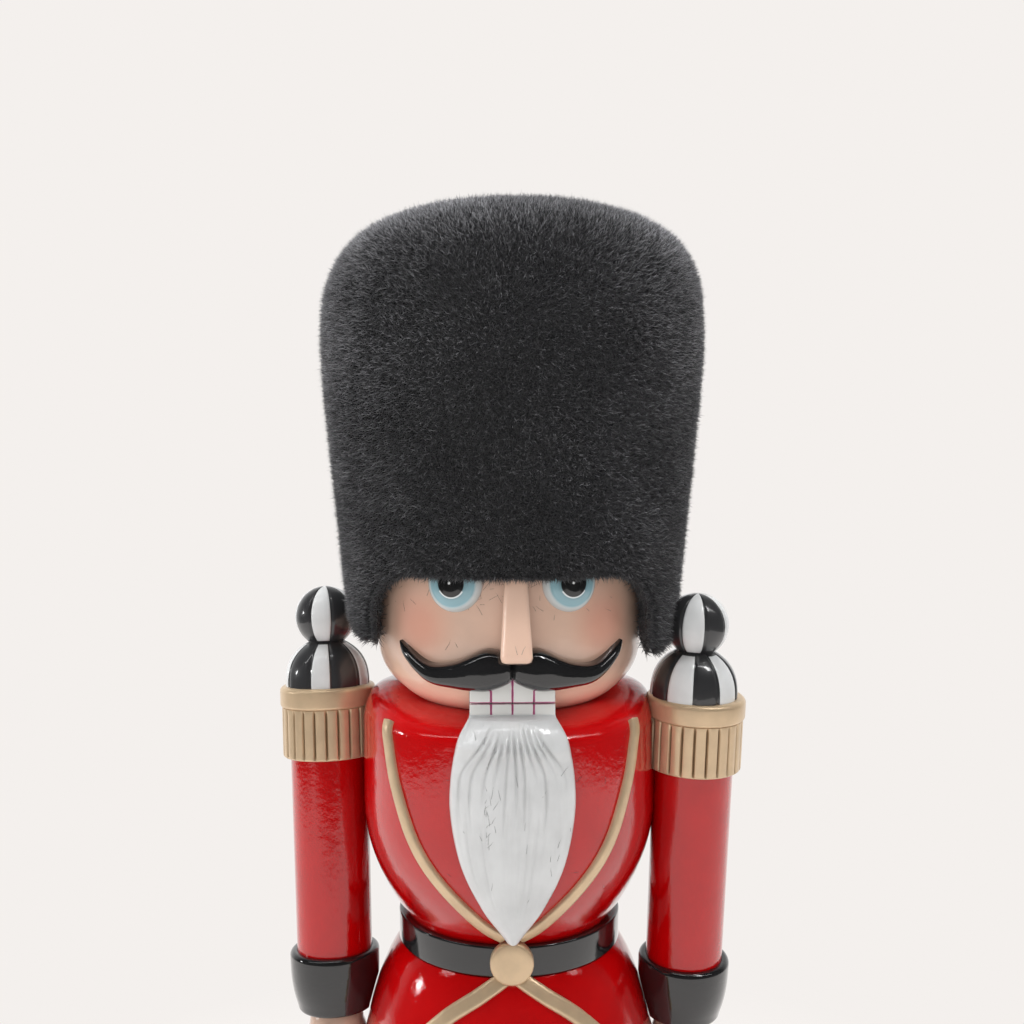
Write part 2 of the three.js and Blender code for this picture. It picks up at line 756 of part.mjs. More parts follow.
function skirtCord(side) {
  const stops = [
    [9, waist - 0.6 * SKIRT_CORD_WIDTH],
    [29, waist - 0.28 * SKIRT_HEIGHT],
    [45, waist - 0.6 * SKIRT_HEIGHT],
    [54, hem + 0.5 * SKIRT_CORD_WIDTH],
  ];
  return cut(
    cord(skirtOutline, side, SKIRT_CORD_WIDTH, stops),
    box(-HEM_RADIUS, HEM_RADIUS, -2 * HEM_RADIUS, 0, waist - 0.5, beltTop),
  );
}

// Head, face and hat
function head() {
  const mouth = box(
    -slotHalf,
    slotHalf,
    -HEAD_RADIUS - CUT_PAST,
    MOUTH_DEPTH - HEAD_RADIUS,
    chin - CUT_PAST,
    palate,
  );
  return cut(turned(headProfile(0), LARGE), mouth, neckDowel(PIN_GAP));
}

function eye(side) {
  const angle = side * radians(EYE_ANGLE);
  const ball = new THREE.SphereGeometry(EYE_RADIUS, 16, 10);
  ball.scale(1, (EYE_BULGE + 1) / EYE_RADIUS, 1);
  ball.rotateZ(angle);
  const place = around(HEAD_RADIUS - 1, angle, eyeLine);
  ball.translate(place.x, place.y, place.z);
  return cut(ball, headSeat);
}

// A wedge that widens and stands out towards its lower end, with a flat ridge
function noseWedge(grow) {
  const bottom = chin + NOSE_LEVEL - grow;
  const rings = [];
  for (const [share, width, bulge] of [[0, 0.9, 0.9], [0.06, 1, 1], [0.5, 0.84, 0.66], [1, 0.68, 0.24]]) {
    const half = (width * NOSE_WIDTH) / 2 + grow;
    const front = -HEAD_RADIUS - bulge * NOSE_BULGE - grow;
    const root = 3 - HEAD_RADIUS;
    const outline = [
      [-half, root],
      [-half, front + 0.45 * half],
      [-0.55 * half, front],
      [0.55 * half, front],
      [half, front + 0.45 * half],
      [half, root],
    ];
    const z = lerp(bottom, brow + 2, share);
    rings.push(outline.map(([x, y]) => new THREE.Vector3(x, y, z)));
  }
  return loft(rings);
}

// Two lobes that meet under the nose, thin out and turn up at the ends, given by stations of an angle in
// degrees, a lift and a height in shares of the whole height, and a share of the bulge
function moustache() {
  const half = [
    [0, 0.13, 0.47, 0.6],
    [6.5, 0.08, 0.82, 0.9],
    [11.5, 0.01, 1, 1],
    [22.5, -0.17, 0.68, 0.8],
    [34, -0.16, 0.48, 0.6],
    [45.5, 0.26, 0.32, 0.4],
    [50, 0.5, 0.1, 0.18],
  ];
  const route = new THREE.CatmullRomCurve3(
    half.map(([angle, lift, height]) => new THREE.Vector3(angle, lift, height)),
  );
  const bulge = new THREE.SplineCurve(half.map(([angle, , , out]) => new THREE.Vector2(angle, out)));
  const steps = 12;
  const rings = [];
  for (let i = -steps; i <= steps; i += 1) {
    const t = Math.abs(i) / steps;
    const { x: degrees, y: lift, z: height } = route.getPoint(t);
    const angle = Math.sign(i) * radians(degrees);
    const out = bulge.getPoint(t).y * MOUSTACHE_BULGE;
    const ring = [];
    for (let j = 0; j < 12; j += 1) {
      const turn = (-j / 12) * 2 * Math.PI;
      const radius = HEAD_RADIUS - 0.6 + (out + 0.6) * Math.cos(turn);
      const rise = MOUSTACHE_HEIGHT * (lift + 0.5 * height * Math.sin(turn));
      ring.push(around(radius, angle, chin + MOUSTACHE_LEVEL + rise));
    }
    rings.push(ring);
  }
  const teeth = box(
    -slotHalf,
    slotHalf,
    -HEAD_RADIUS - GLUE_GAP,
    0,
    chin,
    palate + GLUE_GAP,
  );
  return cut(loft(rings), headSeat, teeth, noseWedge(GLUE_GAP));
}

function teeth(bottom, top) {
  const half = TEETH_WIDTH / 2;
  return box(-half, half, -HEAD_RADIUS, TEETH_DEPTH - HEAD_RADIUS, bottom, top);
}

// The hat's outside from the rim to the crown, moved in along its normal
function hatPoints(inset, lowest) {
  const crown = lerp(hatRim, hatTop, 0.65);
  const side = new THREE.CubicBezierCurve(
    new THREE.Vector2(HAT_RIM_RADIUS, hatRim),
    new THREE.Vector2(lerp(HAT_RIM_RADIUS, HAT_CROWN_RADIUS, 0.22), lerp(hatRim, crown, 0.35)),
    new THREE.Vector2(lerp(HAT_RIM_RADIUS, HAT_CROWN_RADIUS, 0.8), lerp(hatRim, crown, 0.72)),
    new THREE.Vector2(HAT_CROWN_RADIUS, crown),
  );
  const cap = new THREE.CubicBezierCurve(
    new THREE.Vector2(HAT_CROWN_RADIUS, crown),
    new THREE.Vector2(1.005 * HAT_CROWN_RADIUS, lerp(crown, hatTop, 0.56)),
    new THREE.Vector2(HAT_CROWN_RADIUS, hatTop),
    new THREE.Vector2(0, hatTop),
  );
  const points = [];
  for (const [curve, steps, first] of [[side, 4, 0], [cap, 8, 1]]) {
    for (let i = first; i <= steps; i += 1) {
      const p = curve.getPoint(i / steps);
      const along = curve.getTangent(i / steps);
      points.push(new THREE.Vector2(p.x - inset * along.y, p.y + inset * along.x));
    }
  }
  points.at(-1).x = 0;
  const low = new THREE.Vector2(radiusAt(points, lowest), lowest);
  return [low, ...points.filter((p) => p.y > lowest + 1)];
}

const coreBottom = eyeLine + EYE_RADIUS + 1;
const lining = HEAD_RADIUS + HAT_LINING_SPACE;

function hatCore() {
  const bottom = coreBottom + GLUE_GAP;
  const outside = hatPoints(FUR_THICKNESS + GLUE_GAP, bottom);
  const block = turned([new THREE.Vector2(0, bottom), ...outside], MIDDLE);
  return cut(block.translate(HAT_SHIFT, 0, 0), headSeat);
}

function furHat(arms) {
  const outside = hatPoints(0, hatRim);
  const inside = hatPoints(FUR_THICKNESS, coreBottom).reverse();
  const profile = [
    ...inside,
    new THREE.Vector2(lining, coreBottom),
    new THREE.Vector2(lining, hatRim),
    ...outside,
  ];
  const arch = new THREE.Shape();
  const half = FACE_OPENING_WIDTH / 2;
  const round = FACE_OPENING_ROUND;
  arch.moveTo(-half, hatRim - CUT_PAST);
  arch.lineTo(half, hatRim - CUT_PAST);
  arch.lineTo(half, brow - round);
  arch.absarc(half - round, brow - round, round, 0, Math.PI / 2, false);
  arch.absarc(round - half, brow - round, round, Math.PI / 2, Math.PI, false);
  const opening = new THREE.ExtrudeGeometry(arch, {
    depth: 2 * HAT_CROWN_RADIUS,
    bevelEnabled: false,
    curveSegments: 4,
  });
  opening.rotateX(Math.PI / 2);
  opening.translate(HAT_SHIFT, -0.2 * HEAD_RADIUS, 0);
  const dents = arms.map(({ arm }) => finial(GLUE_GAP).applyMatrix4(arm.matrixWorld));
  return cut(turned(profile, LARGE).translate(HAT_SHIFT, 0, 0), opening, ...dents);
}

// Jaw: mouth floor, boss on the pin, rear arm and handle in one lever
const beardRadius = CHEST_RADIUS + BEARD_STANDOFF;

function jawLever() {
  const edge = TEETH_WIDTH / 2;
  const front = GLUE_GAP - Math.sqrt(beardRadius ** 2 - edge ** 2);
  const back = -MOUTH_DEPTH / 3;
  const bottom = jawFloor - JAW_FLOOR_DEPTH;
  const floor = board(
    [
      [front, bottom],
      [back, bottom],
      [back, jawFloor],
      [front + 4.5, jawFloor],
      [front + 1.2, jawFloor - 4.5],
      [front, jawFloor - 7],
    ],
    TEETH_WIDTH,
  );
  const boss = crossRod(JAW_BOSS_RADIUS, -LEVER_WIDTH / 2, LEVER_WIDTH / 2, 0, pinLevel);
  const r = JAW_BOSS_RADIUS;
  const inner = CHEST_RADIUS + HANDLE_STANDOFF;
  const outer = inner + HANDLE_THICKNESS;
  const frontArm = board(
    [
      [0.75 * front, bottom + 1],
      [back - 4, bottom + 1],
      [0.85 * r, pinLevel + 0.3 * r],
      [0, pinLevel - 0.9 * r],
      [-0.85 * r, pinLevel - 0.3 * r],
    ],
    LEVER_WIDTH,
  );
  const rearArm = board(
    [
      [-0.2 * r, pinLevel - 0.9 * r],
      [inner + 2, pinLevel - 0.2 * r],
      [inner + 2, pinLevel + 1.1 * r],
      [-0.2 * r, pinLevel + 0.9 * r],
    ],
    LEVER_WIDTH,
  );
  const top = pinLevel + 1.2 * r;
  const low = top - HANDLE_LENGTH;
  const handle = board(
    [
      [inner, low + HANDLE_ROUND],
      [inner + HANDLE_ROUND, low],
      [outer - HANDLE_ROUND, low],
      [outer, low + HANDLE_ROUND],
      [outer + 1, low + 0.2 * HANDLE_LENGTH],
      [outer, top - 8],
      [outer - 4, top],
      [inner, top],
    ],
    HANDLE_WIDTH,
  );
  return cut(
    join(floor, boss, frontArm, rearArm, handle),
    jawPinBore(),
  );
}

// The beard follows the chest at a small distance, with upright strands on its front
function beard() {
  const top = jawFloor;
  const widths = new THREE.SplineCurve(
    [
      [0, 0.1],
      [0.04, 0.2],
      [0.12, 0.42],
      [0.19, 0.57],
      [0.27, 0.72],
      [0.36, 0.845],
      [0.48, 0.945],
      [0.61, 1],
      [0.73, 0.985],
      [0.83, 0.935],
      [0.92, 0.86],
      [1, 0.7],
    ].map(([height, share]) => new THREE.Vector2(height, share)),
  );
  const rings = [];
  const steps = 13;
  const strands = 16;
  for (let i = 0; i <= steps; i += 1) {
    const { x: share, y: wide } = widths.getPoint(i / steps);
    const z = top - BEARD_LENGTH * (1 - share);
    const half = (wide * BEARD_WIDTH) / 2;
    const shoulder = Math.max(0, z - (torsoTop - SHOULDER_ROUND)) / SHOULDER_ROUND;
    const low = Math.max(0, 1 - share / 0.35);
    const back = beardRadius - 0.62 * SHOULDER_ROUND * shoulder ** 2 - BEARD_TUCK * low ** 2;
    const thick = BEARD_BULGE * (0.3 + 0.7 * Math.sqrt(Math.sin(Math.PI * lerp(0.12, 0.97, share))));
    const ring = [];
    for (let j = 0; j <= strands; j += 1) {
      const across = (2 * j) / strands - 1;
      const groove = j % 2 === 0 ? 0.1 : 0;
      const front = back + thick * (1 - 0.6 * across ** 2) * (1 - groove);
      ring.push(around(front, Math.asin((across * half) / front), z));
    }
    for (let j = 6; j >= 0; j -= 1) {
      const across = (2 * j) / 6 - 1;
      ring.push(around(back, Math.asin((across * half) / back), z));
    }
    rings.push(ring);
  }
  return loft(rings);
}

// The whole soldier
const nutcracker = new THREE.Group();
nutcracker.name = "nutcracker";
const arms = [armPlace(0), armPlace(Math.PI)];
const figure = new THREE.Group();
const jaw = new THREE.Group();
nutcracker.add(figure, jaw);

figure.add(mesh("base_pad", feltPad(), FELT));
figure.add(mesh("base", basePlinth(), BLACK));
for (const [name, side] of [["left", 1], ["right", -1]]) {
  figure.add(mesh(name + "_boot", boot(side), BLACK));
  figure.add(mesh(name + "_leg", leg(side), WHITE));
  figure.add(mesh(name + "_leg_rod", legRod(side, 0), STEEL));
  figure.add(mesh(name + "_chest_cord", chestCord(side), GOLD));
  figure.add(mesh(name + "_skirt_cord", skirtCord(side), GOLD));
  figure.add(mesh(name + "_eye", eye(side), WHITE));
}
figure.add(
  mesh(
    "coat_skirt",
    cut(turned(skirtOutline, LARGE), legRod(1, PIN_GAP), legRod(-1, PIN_GAP), waistDowel(PIN_GAP)),
    RED,
  ),
);
figure.add(mesh("torso", torso(arms), RED));
figure.add(mesh("waist_dowel", waistDowel(0), WOOD));
figure.add(mesh("belt", belt(), BLACK));
figure.add(mesh("belt_buckle", buckle(), GOLD));
figure.add(mesh("neck_dowel", neckDowel(0), WOOD));
figure.add(mesh("head", head(), SKIN));
figure.add(mesh("nose", cut(noseWedge(0), headSeat), SKIN));
figure.add(mesh("moustache", moustache(), BLACK));
figure.add(mesh("upper_teeth", teeth(teethLine + GLUE_GAP / 2, palate - GLUE_GAP), TOOTH));
figure.add(mesh("hat_core", hatCore(), FOAM));
figure.add(mesh("fur_hat", furHat(arms), FUR));
figure.add(mesh("jaw_pin", jawPin(), STEEL));
figure.add(fillArm("left", arms[0], 1));
figure.add(fillArm("right", arms[1], -1));

jaw.add(mesh("jaw_lever", jawLever(), RED));
jaw.add(mesh("lower_teeth", teeth(jawFloor + GLUE_GAP, teethLine - GLUE_GAP / 2), TOOTH));
jaw.add(mesh("beard", beard(), WHITE));

export default nutcracker;
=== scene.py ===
import math

import bmesh
import bpy
import numpy as np
from mathutils import Matrix, Vector
from mathutils.bvhtree import BVHTree


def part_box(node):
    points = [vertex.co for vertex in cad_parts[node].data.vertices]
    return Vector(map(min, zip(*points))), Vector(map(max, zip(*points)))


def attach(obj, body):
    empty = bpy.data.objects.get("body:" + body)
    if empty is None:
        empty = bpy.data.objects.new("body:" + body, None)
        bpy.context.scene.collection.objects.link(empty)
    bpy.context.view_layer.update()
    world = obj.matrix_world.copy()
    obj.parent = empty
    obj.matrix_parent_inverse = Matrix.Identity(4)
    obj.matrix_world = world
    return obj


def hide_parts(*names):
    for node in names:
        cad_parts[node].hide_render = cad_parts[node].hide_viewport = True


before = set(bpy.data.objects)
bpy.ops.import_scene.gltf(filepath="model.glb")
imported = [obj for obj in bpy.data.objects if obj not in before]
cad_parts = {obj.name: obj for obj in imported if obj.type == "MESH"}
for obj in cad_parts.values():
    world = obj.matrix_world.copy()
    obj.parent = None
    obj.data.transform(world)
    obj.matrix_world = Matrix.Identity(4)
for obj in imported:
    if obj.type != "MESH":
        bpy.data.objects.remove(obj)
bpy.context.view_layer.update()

bl_info = {
    "name": "Nutcracker Soldier",
    "version": (1, 0, 0),
    "blender": (4, 5, 0),
    "location": "3D View > Sidebar > Nutcracker",
    "description": "Dresses the soldier's solids as lacquered castings under a plush hat",
    "category": "Object",
}

MM = 0.001
SEED = 12
TINY = 1e-9
FULL_TURN = 2 * math.pi

# Names of the finishes
RED = "red_enamel"
SKIN = "skin_enamel"
GOLD = "gold_bronze_paint"
BLACK = "black_enamel"
GORE = "gore_enamel"
WHITE = "white_enamel"
TOOTH = "tooth_enamel"
EYE = "eye_enamel"
PILE = "acrylic_pile"
BACKING = "knitted_backing"
WADDING = "polyester_wadding"
FELT = "pressed_felt"
STEEL = "drawn_steel"
WOOD = "turned_birch"


# Sizes read from the frame
def vertices_of(piece):
    """A piece's own vertices as rows of x, y and z."""
    flat = np.empty(3 * len(piece.data.vertices))
    piece.data.vertices.foreach_get("co", flat)
    return flat.reshape(-1, 3)


def points_of(node):
    """A node's vertices at rest."""
    return vertices_of(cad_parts[node])


def radius_near(node, z, centre=0.0):
    """The radius of a turned node near a height."""
    points = points_of(node)
    near = points[np.abs(points[:, 2] - z) < 0.5 * MM]
    return float(np.hypot(near[:, 0] - centre, near[:, 1]).max())


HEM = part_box("coat_skirt")[0].z
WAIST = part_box("torso")[0].z
BELT_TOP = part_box("belt")[1].z
TORSO_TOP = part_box("torso")[1].z
HEM_RADIUS = radius_near("coat_skirt", HEM)
SKIRT_TOP_RADIUS = radius_near("coat_skirt", WAIST)
WAIST_RADIUS = radius_near("torso", WAIST)
CHEST_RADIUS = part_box("torso")[1].x
BELT_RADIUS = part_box("belt")[1].x
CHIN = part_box("head")[0].z
HEAD_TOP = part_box("head")[1].z
HEAD_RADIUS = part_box("head")[1].x
TEETH_LOW, TEETH_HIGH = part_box("upper_teeth")
MOUTH_HALF = TEETH_HIGH.x + 0.15 * MM
PIN_LEVEL = sum(p.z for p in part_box("jaw_pin")) / 2
HAT_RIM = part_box("fur_hat")[0].z
HAT_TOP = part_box("fur_hat")[1].z
HAT_CENTRE = (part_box("fur_hat")[0].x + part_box("fur_hat")[1].x) / 2
HAT_SHIFT = np.array([HAT_CENTRE, 0, 0])
HAT_RIM_RADIUS = radius_near("fur_hat", HAT_RIM, HAT_CENTRE)
HAT_CROWN_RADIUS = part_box("fur_hat")[1].x - HAT_CENTRE
BROW = min(p[2] for p in points_of("fur_hat") if abs(p[0]) < 20 * MM and p[1] < 0)
OPENING_HALF = min(
    abs(p[0] - HAT_CENTRE) for p in points_of("fur_hat") if p[1] < -20 * MM and p[2] < BROW - 10 * MM
)
# The opening in the plush: a little wider and lower than in the solid, with rounder corners
ARCH_HALF = OPENING_HALF + 1.4 * MM
ARCH_BROW = BROW - 1.0 * MM
ARCH_CENTRE = HAT_CENTRE - 0.8 * MM
ARCH_ROUND = 13 * MM
ARCH_BACK = -0.2 * HEAD_RADIUS
# The coat's top sinks under the chin, and rises to the arms on both sides of the saddle
SADDLE_HALF = 46 * MM
CHIN_SINK = 2.7 * MM
SHOULDER_RISE = 4.2 * MM
# Room between the skirt and what hangs against it
SKIRT_GAP = 0.3 * MM
# The soldier's left arm and its finial are glued closer, so that no light shows between them and the coat
ARM_NUDGE = 0.8 * MM
FINIAL_NUDGE = 0.9 * MM
# How much of a finial's height belongs to its ball
BALL_SPAN = 14 * MM
# Fibres are made in pieces of about this many, with more of them where the hat's edges fold
FIBRES_PER_PIECE = 15000
ARCH_FIBRES = 15000
RIM_FIBRES = 11000
# The middle of a cheek's blush: degrees from the front, and height over the chin
CHEEK = (40.5, 28 * MM)


def linear(code):
    """An sRGB hex colour as linear red, green, blue and full alpha."""
    parts = [int(code[i:i + 2], 16) / 255 for i in (1, 3, 5)]
    return [p / 12.92 if p <= 0.04045 else ((p + 0.055) / 1.055) ** 2.4 for p in parts] + [1.0]


def length(name, description, millimetres):
    """A length property with its default in millimetres."""
    return bpy.props.FloatProperty(
        name=name, description=description, default=millimetres * MM, min=0, unit="LENGTH", precision=5
    )


def number(name, description, default, least):
    """A property for a number of things."""
    return bpy.props.IntProperty(name=name, description=description, default=default, min=least)


def colour(name, description, code):
    """A colour property with its default as an sRGB hex value."""
    return bpy.props.FloatVectorProperty(
        name=name, description=description, default=linear(code), size=4, min=0, max=1, subtype="COLOR"
    )


class NutcrackerSizes(bpy.types.PropertyGroup):
    """Sizes of the carving, the relief and the pile."""

    shoulder_round: length("Shoulder round", "Round of the coat's upper edge", 9)
    cord_thickness: length("Cord thickness", "How far the gold cords stand out", 1.5)
    chest_cord_width: length("Chest cord width", "Width of the cords on the chest", 4)
    skirt_cord_width: length("Skirt cord width", "Width of the cords on the skirt", 5)
    eye_radius: length("Eye radius", "Outer radius of the white of an eye", 9)
    eye_bulge: length("Eye bulge", "How far an eye stands out of the face", 2.8)
    moustache_height: length("Moustache height", "Height of a lobe at its thickest", 12)
    moustache_bulge: length("Moustache bulge", "How far a lobe stands out of the face", 6)
    tooth_edge: length("Tooth edge", "Round of a tooth's edges", 0.35)
    strand_depth: length("Strand depth", "Depth of the beard's carved strands", 0.55)
    cap_rim: length("Cap rim", "Height of the plain rim of a shoulder cap", 7)
    flute_depth: length("Flute depth", "Depth of the grooves of a shoulder cap", 0.9)
    gore_groove: length("Gore groove", "Depth of the grooves between the gores of a finial", 0.45)
    pile_length: length("Pile length", "Length of a fibre of the hat", 3.2)
    pile_width: length("Pile width", "Thickness of a fibre at its root", 0.11)
    flutes: number("Flutes", "Number of flutes round a shoulder cap", 24, 3)
    ball_gores: number("Ball gores", "Number of gores round a finial's ball", 8, 2)
    dome_gores: number("Dome gores", "Number of gores round a finial's dome", 10, 2)
    pile_count: number("Pile count", "Number of fibres on the hat", 300000, 100)


class NutcrackerColours(bpy.types.PropertyGroup):
    """Colours of the paints and fibres."""

    red: colour("Red", "Enamel of the coat", "#B80306")
    skin: colour("Skin", "Enamel of the face and hands", "#D9B6A1")
    blush: colour("Blush", "Colour of the cheeks", "#D2907A")
    gold: colour("Gold", "Bronze paint of the trimmings", "#E2C6A2")
    black: colour("Black", "Enamel of the belt, the cuffs and the moustache", "#1B1B1C")
    white: colour("White", "Enamel of the beard and the finials", "#DADBDB")
    tooth: colour("Teeth", "Enamel of the teeth", "#DEDDD9")
    tooth_line: colour("Tooth line", "Lines painted between the teeth", "#B85A86")
    iris: colour("Iris", "Ring round the pupil", "#88AEB8")
    pile: colour("Pile", "Darkest fibres of the hat", "#38383A")
    pile_light: colour("Light pile", "Lightest fibres of the hat", "#ACACB0")
    backdrop: colour("Backdrop", "What the camera sees behind the soldier", "#F4F0ED")


# Numbers
def columns(*parts):
    """Values that belong together, such as x, y and z, as rows."""
    return np.stack(np.broadcast_arrays(*parts), axis=-1)


def around(radius, angle, z):
    """Points at an angle round the axis, counted from the front towards the soldier's left."""
    return columns(radius * np.sin(angle), -radius * np.cos(angle), z)


def unit(vectors):
    """Vectors with their lengths made one."""
    return vectors / np.linalg.norm(vectors, axis=1)[:, None]


def share_of(values, whole):
    """Values as shares of a whole, from 0 to 1."""
    return np.clip(values / whole, 0, 1)


def eased(values):
    """Values between 0 and 1, with a soft start and end."""
    share = np.clip(values, 0, 1)
    return share**2 * (3 - 2 * share)


def squarish(values, power):
    """Sines or cosines of a circle that is bent towards a square."""
    return np.sign(values) * np.abs(values) ** power


def read_off(rows, at):
    """The other columns of a table, read between its rows at a value of its first column."""
    first, *others = np.transpose(rows)
    return [np.interp(at, first, other) for other in others]


def bezier(start, first, second, end, steps):
    """Points of a cubic curve, without its last one."""
    t = np.linspace(0, 1, steps, endpoint=False)[:, None]
    a, b, c, d = (np.array(p, float) for p in (start, first, second, end))
    return list(a * (1 - t) ** 3 + 3 * b * t * (1 - t) ** 2 + 3 * c * t**2 * (1 - t) + d * t**3)


def spline(stations, shares):
    """A smooth run through stations, at shares of the way along it."""
    stations = np.asarray(stations, float)
    last = len(stations) - 1
    place = np.clip(np.asarray(shares, float) * last, 0, last - TINY)
    step = place.astype(int)
    t = (place - step)[..., None]
    a, b, c, d = (stations[np.clip(step + k, 0, last)] for k in (-1, 0, 1, 2))
    rise, fall = (c - a) / 2, (d - b) / 2
    return (2 * b - 2 * c + rise + fall) * t**3 + (3 * c - 3 * b - 2 * rise - fall) * t**2 + rise * t + b


def corner(centre, radius, start, end, steps=6):
    """Points of an arc of a profile, with its angles in degrees."""
    turns = np.radians(np.linspace(start, end, steps))
    return [(centre[0] + radius * math.cos(a), centre[1] + radius * math.sin(a)) for a in turns]


def rod(radius, low, high):
    """The profile of a plain cylinder."""
    return [(0, low), (radius, low), (radius, high), (0, high)]


# Pieces
def new_piece(name, data):
    """An object for a mesh, a lamp or a camera, linked to the scene."""
    piece = bpy.data.objects.new(name, data)
    bpy.context.scene.collection.objects.link(piece)
    return piece


def piece_of(name, shape):
    """A piece with the mesh of a bmesh, which is then freed."""
    data = bpy.data.meshes.new(name)
    shape.to_mesh(data)
    shape.free()
    return new_piece(name, data)


def loft(name, rings, ends=True):
    """Rings of points joined in order, with a face at each end if they don't meet the axis."""
    rings = np.asarray(rings, float)
    count, size = rings.shape[:2]
    index = np.arange(count * size).reshape(count, size)
    beside = np.roll(index, -1, axis=1)
    faces = columns(index[:-1], beside[:-1], beside[1:], index[1:]).reshape(-1, 4).tolist()
    if ends:
        faces += [index[0][::-1].tolist(), index[-1].tolist()]
    data = bpy.data.meshes.new(name)
    data.from_pydata(rings.reshape(-1, 3).tolist(), [], faces)
    shape = bmesh.new()
    shape.from_mesh(data)
    bmesh.ops.remove_doubles(shape, verts=shape.verts, dist=1e-7)
    bmesh.ops.recalc_face_normals(shape, faces=shape.faces)
    shape.to_mesh(data)
    shape.free()
    return new_piece(name, data)


def turned(name, profile, sides):
    """A profile of radius and height, turned round the vertical axis."""
    profile = np.asarray(profile, float)
    angles = np.arange(sides) * FULL_TURN / sides
    return loft(name, around(profile[:, :1], angles, profile[:, 1:]), ends=False)


def block(half, y0, y1, z0, z1):
    """A plain box across the middle, used only as a tool to cut with."""
    ring = [(-half, y0), (half, y0), (half, y1), (-half, y1)]
    return loft("cutter", [[(x, y, z) for x, y in ring] for z in (z0, z1)])


def settle(piece):
    """Apply a piece's modifiers to its mesh."""
    graph = bpy.context.evaluated_depsgraph_get()
    made = bpy.data.meshes.new_from_object(piece.evaluated_get(graph))
    piece.modifiers.clear()
    piece.data = made


def cut(piece, *tools):
    """Cut a piece with tools, which are then removed."""
    for tool in tools:
        gap = piece.modifiers.new("gap", "BOOLEAN")
        gap.operation = "DIFFERENCE"
        gap.solver = "EXACT"
        gap.object = tool
        settle(piece)
        bpy.data.objects.remove(tool)


def reshape(piece, points):
    """Give a piece's vertices new places."""
    piece.data.vertices.foreach_set("co", np.asarray(points, float).ravel())
    piece.data.update()


def bend(piece, change):
    """Move a piece's vertices by a function of their places."""
    reshape(piece, change(vertices_of(piece)))


def note(piece, name, values):
    """Keep a number for each vertex, which a material reads as an attribute."""
    attribute = piece.data.attributes.new(name, "FLOAT", "POINT")
    attribute.data.foreach_set("value", np.full(len(piece.data.vertices), values, np.float32))


def dress(piece, finish, *nodes, body="figure", sharp=40):
    """Give a piece its finish and its body, and hide the nodes that it stands for."""
    piece.data.materials.clear()
    piece.data.materials.append(bpy.data.materials[finish])
    piece.data.shade_smooth()
    piece.data.set_sharp_from_angle(angle=math.radians(sharp))
    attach(piece, body)
    if nodes:
        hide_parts(*nodes)


# Profiles of the turned castings
def coat_profile(shoulder):
    """The coat from the waist to its flat top."""
    start = BELT_TOP
    height = TORSO_TOP - WAIST
    swell = WAIST_RADIUS + 0.57 * (CHEST_RADIUS - WAIST_RADIUS)
    points = [(0, WAIST), (WAIST_RADIUS, WAIST)]
    points += bezier(
        (WAIST_RADIUS, start),
        (swell, start + 0.13 * height),
        (CHEST_RADIUS, start + 0.27 * height),
        (CHEST_RADIUS, start + 0.47 * height),
        24,
    )
    inward, downward = 1.65 * shoulder, 1.15 * shoulder
    for a in np.linspace(0, math.pi / 2, 14):
        points.append((CHEST_RADIUS - inward * (1 - math.cos(a)), TORSO_TOP - downward * (1 - math.sin(a))))
    flat = CHEST_RADIUS - inward
    return points + [(share * flat, TORSO_TOP) for share in (0.85, 0.7, 0.5, 0)]


def saddled(points):
    """The coat's top sinks a little under the chin and rises to the arms."""
    aside = share_of(np.abs(points[:, 0]), SADDLE_HALF) ** 4
    front = share_of(-points[:, 1], 15 * MM)
    high = eased((points[:, 2] - TORSO_TOP + 12 * MM) / (12 * MM))
    return points + columns(0, 0, high * (SHOULDER_RISE * aside - CHIN_SINK * front * (1 - aside)))


def sunk(points):
    """The chin reaches down into the hollow of the coat's top."""
    aside = share_of(np.abs(points[:, 0]), SADDLE_HALF) ** 4
    front = share_of(-points[:, 1] - 12 * MM, 8 * MM)
    low = eased((CHIN + 14 * MM - points[:, 2]) / (14 * MM))
    return points - columns(0, 0, CHIN_SINK * low * front * (1 - aside))


def skirt_profile(grow=0.0):
    """The skirt of the coat from its hem to the waist."""
    height = WAIST - HEM
    middle = SKIRT_TOP_RADIUS + 0.48 * (HEM_RADIUS - SKIRT_TOP_RADIUS)
    hem = 1.2 * MM
    points = [(0, HEM - grow), (HEM_RADIUS - 3 * hem, HEM - grow)]
    points += corner((HEM_RADIUS - hem + grow, HEM + hem - grow), hem, -90, -8, 5)
    points += bezier(
        (HEM_RADIUS + grow, HEM + hem),
        (HEM_RADIUS - 0.7 * MM + grow, HEM + 0.37 * height),
        (middle + grow, HEM + 0.84 * height),
        (SKIRT_TOP_RADIUS + grow, WAIST + grow),
        24,
    )
    return points + [(SKIRT_TOP_RADIUS + grow, WAIST + grow), (0, WAIST + grow)]


def head_profile(grow=0.0):
    """The head with its bowl-shaped underside."""
    radius = HEAD_RADIUS + grow
    bowl = 0.45 * (HEAD_TOP - CHIN)
    low = CHIN - grow
    cheek = (radius, CHIN + bowl)
    points = bezier((0, low), (0.9 * radius, low), (radius, CHIN + 0.22 * bowl), cheek, 28)
    points += bezier(cheek, (radius, HEAD_TOP - 12 * MM), (radius, HEAD_TOP), (0.6 * radius, HEAD_TOP), 16)
    return points + [(0.6 * radius, HEAD_TOP), (0, HEAD_TOP)]


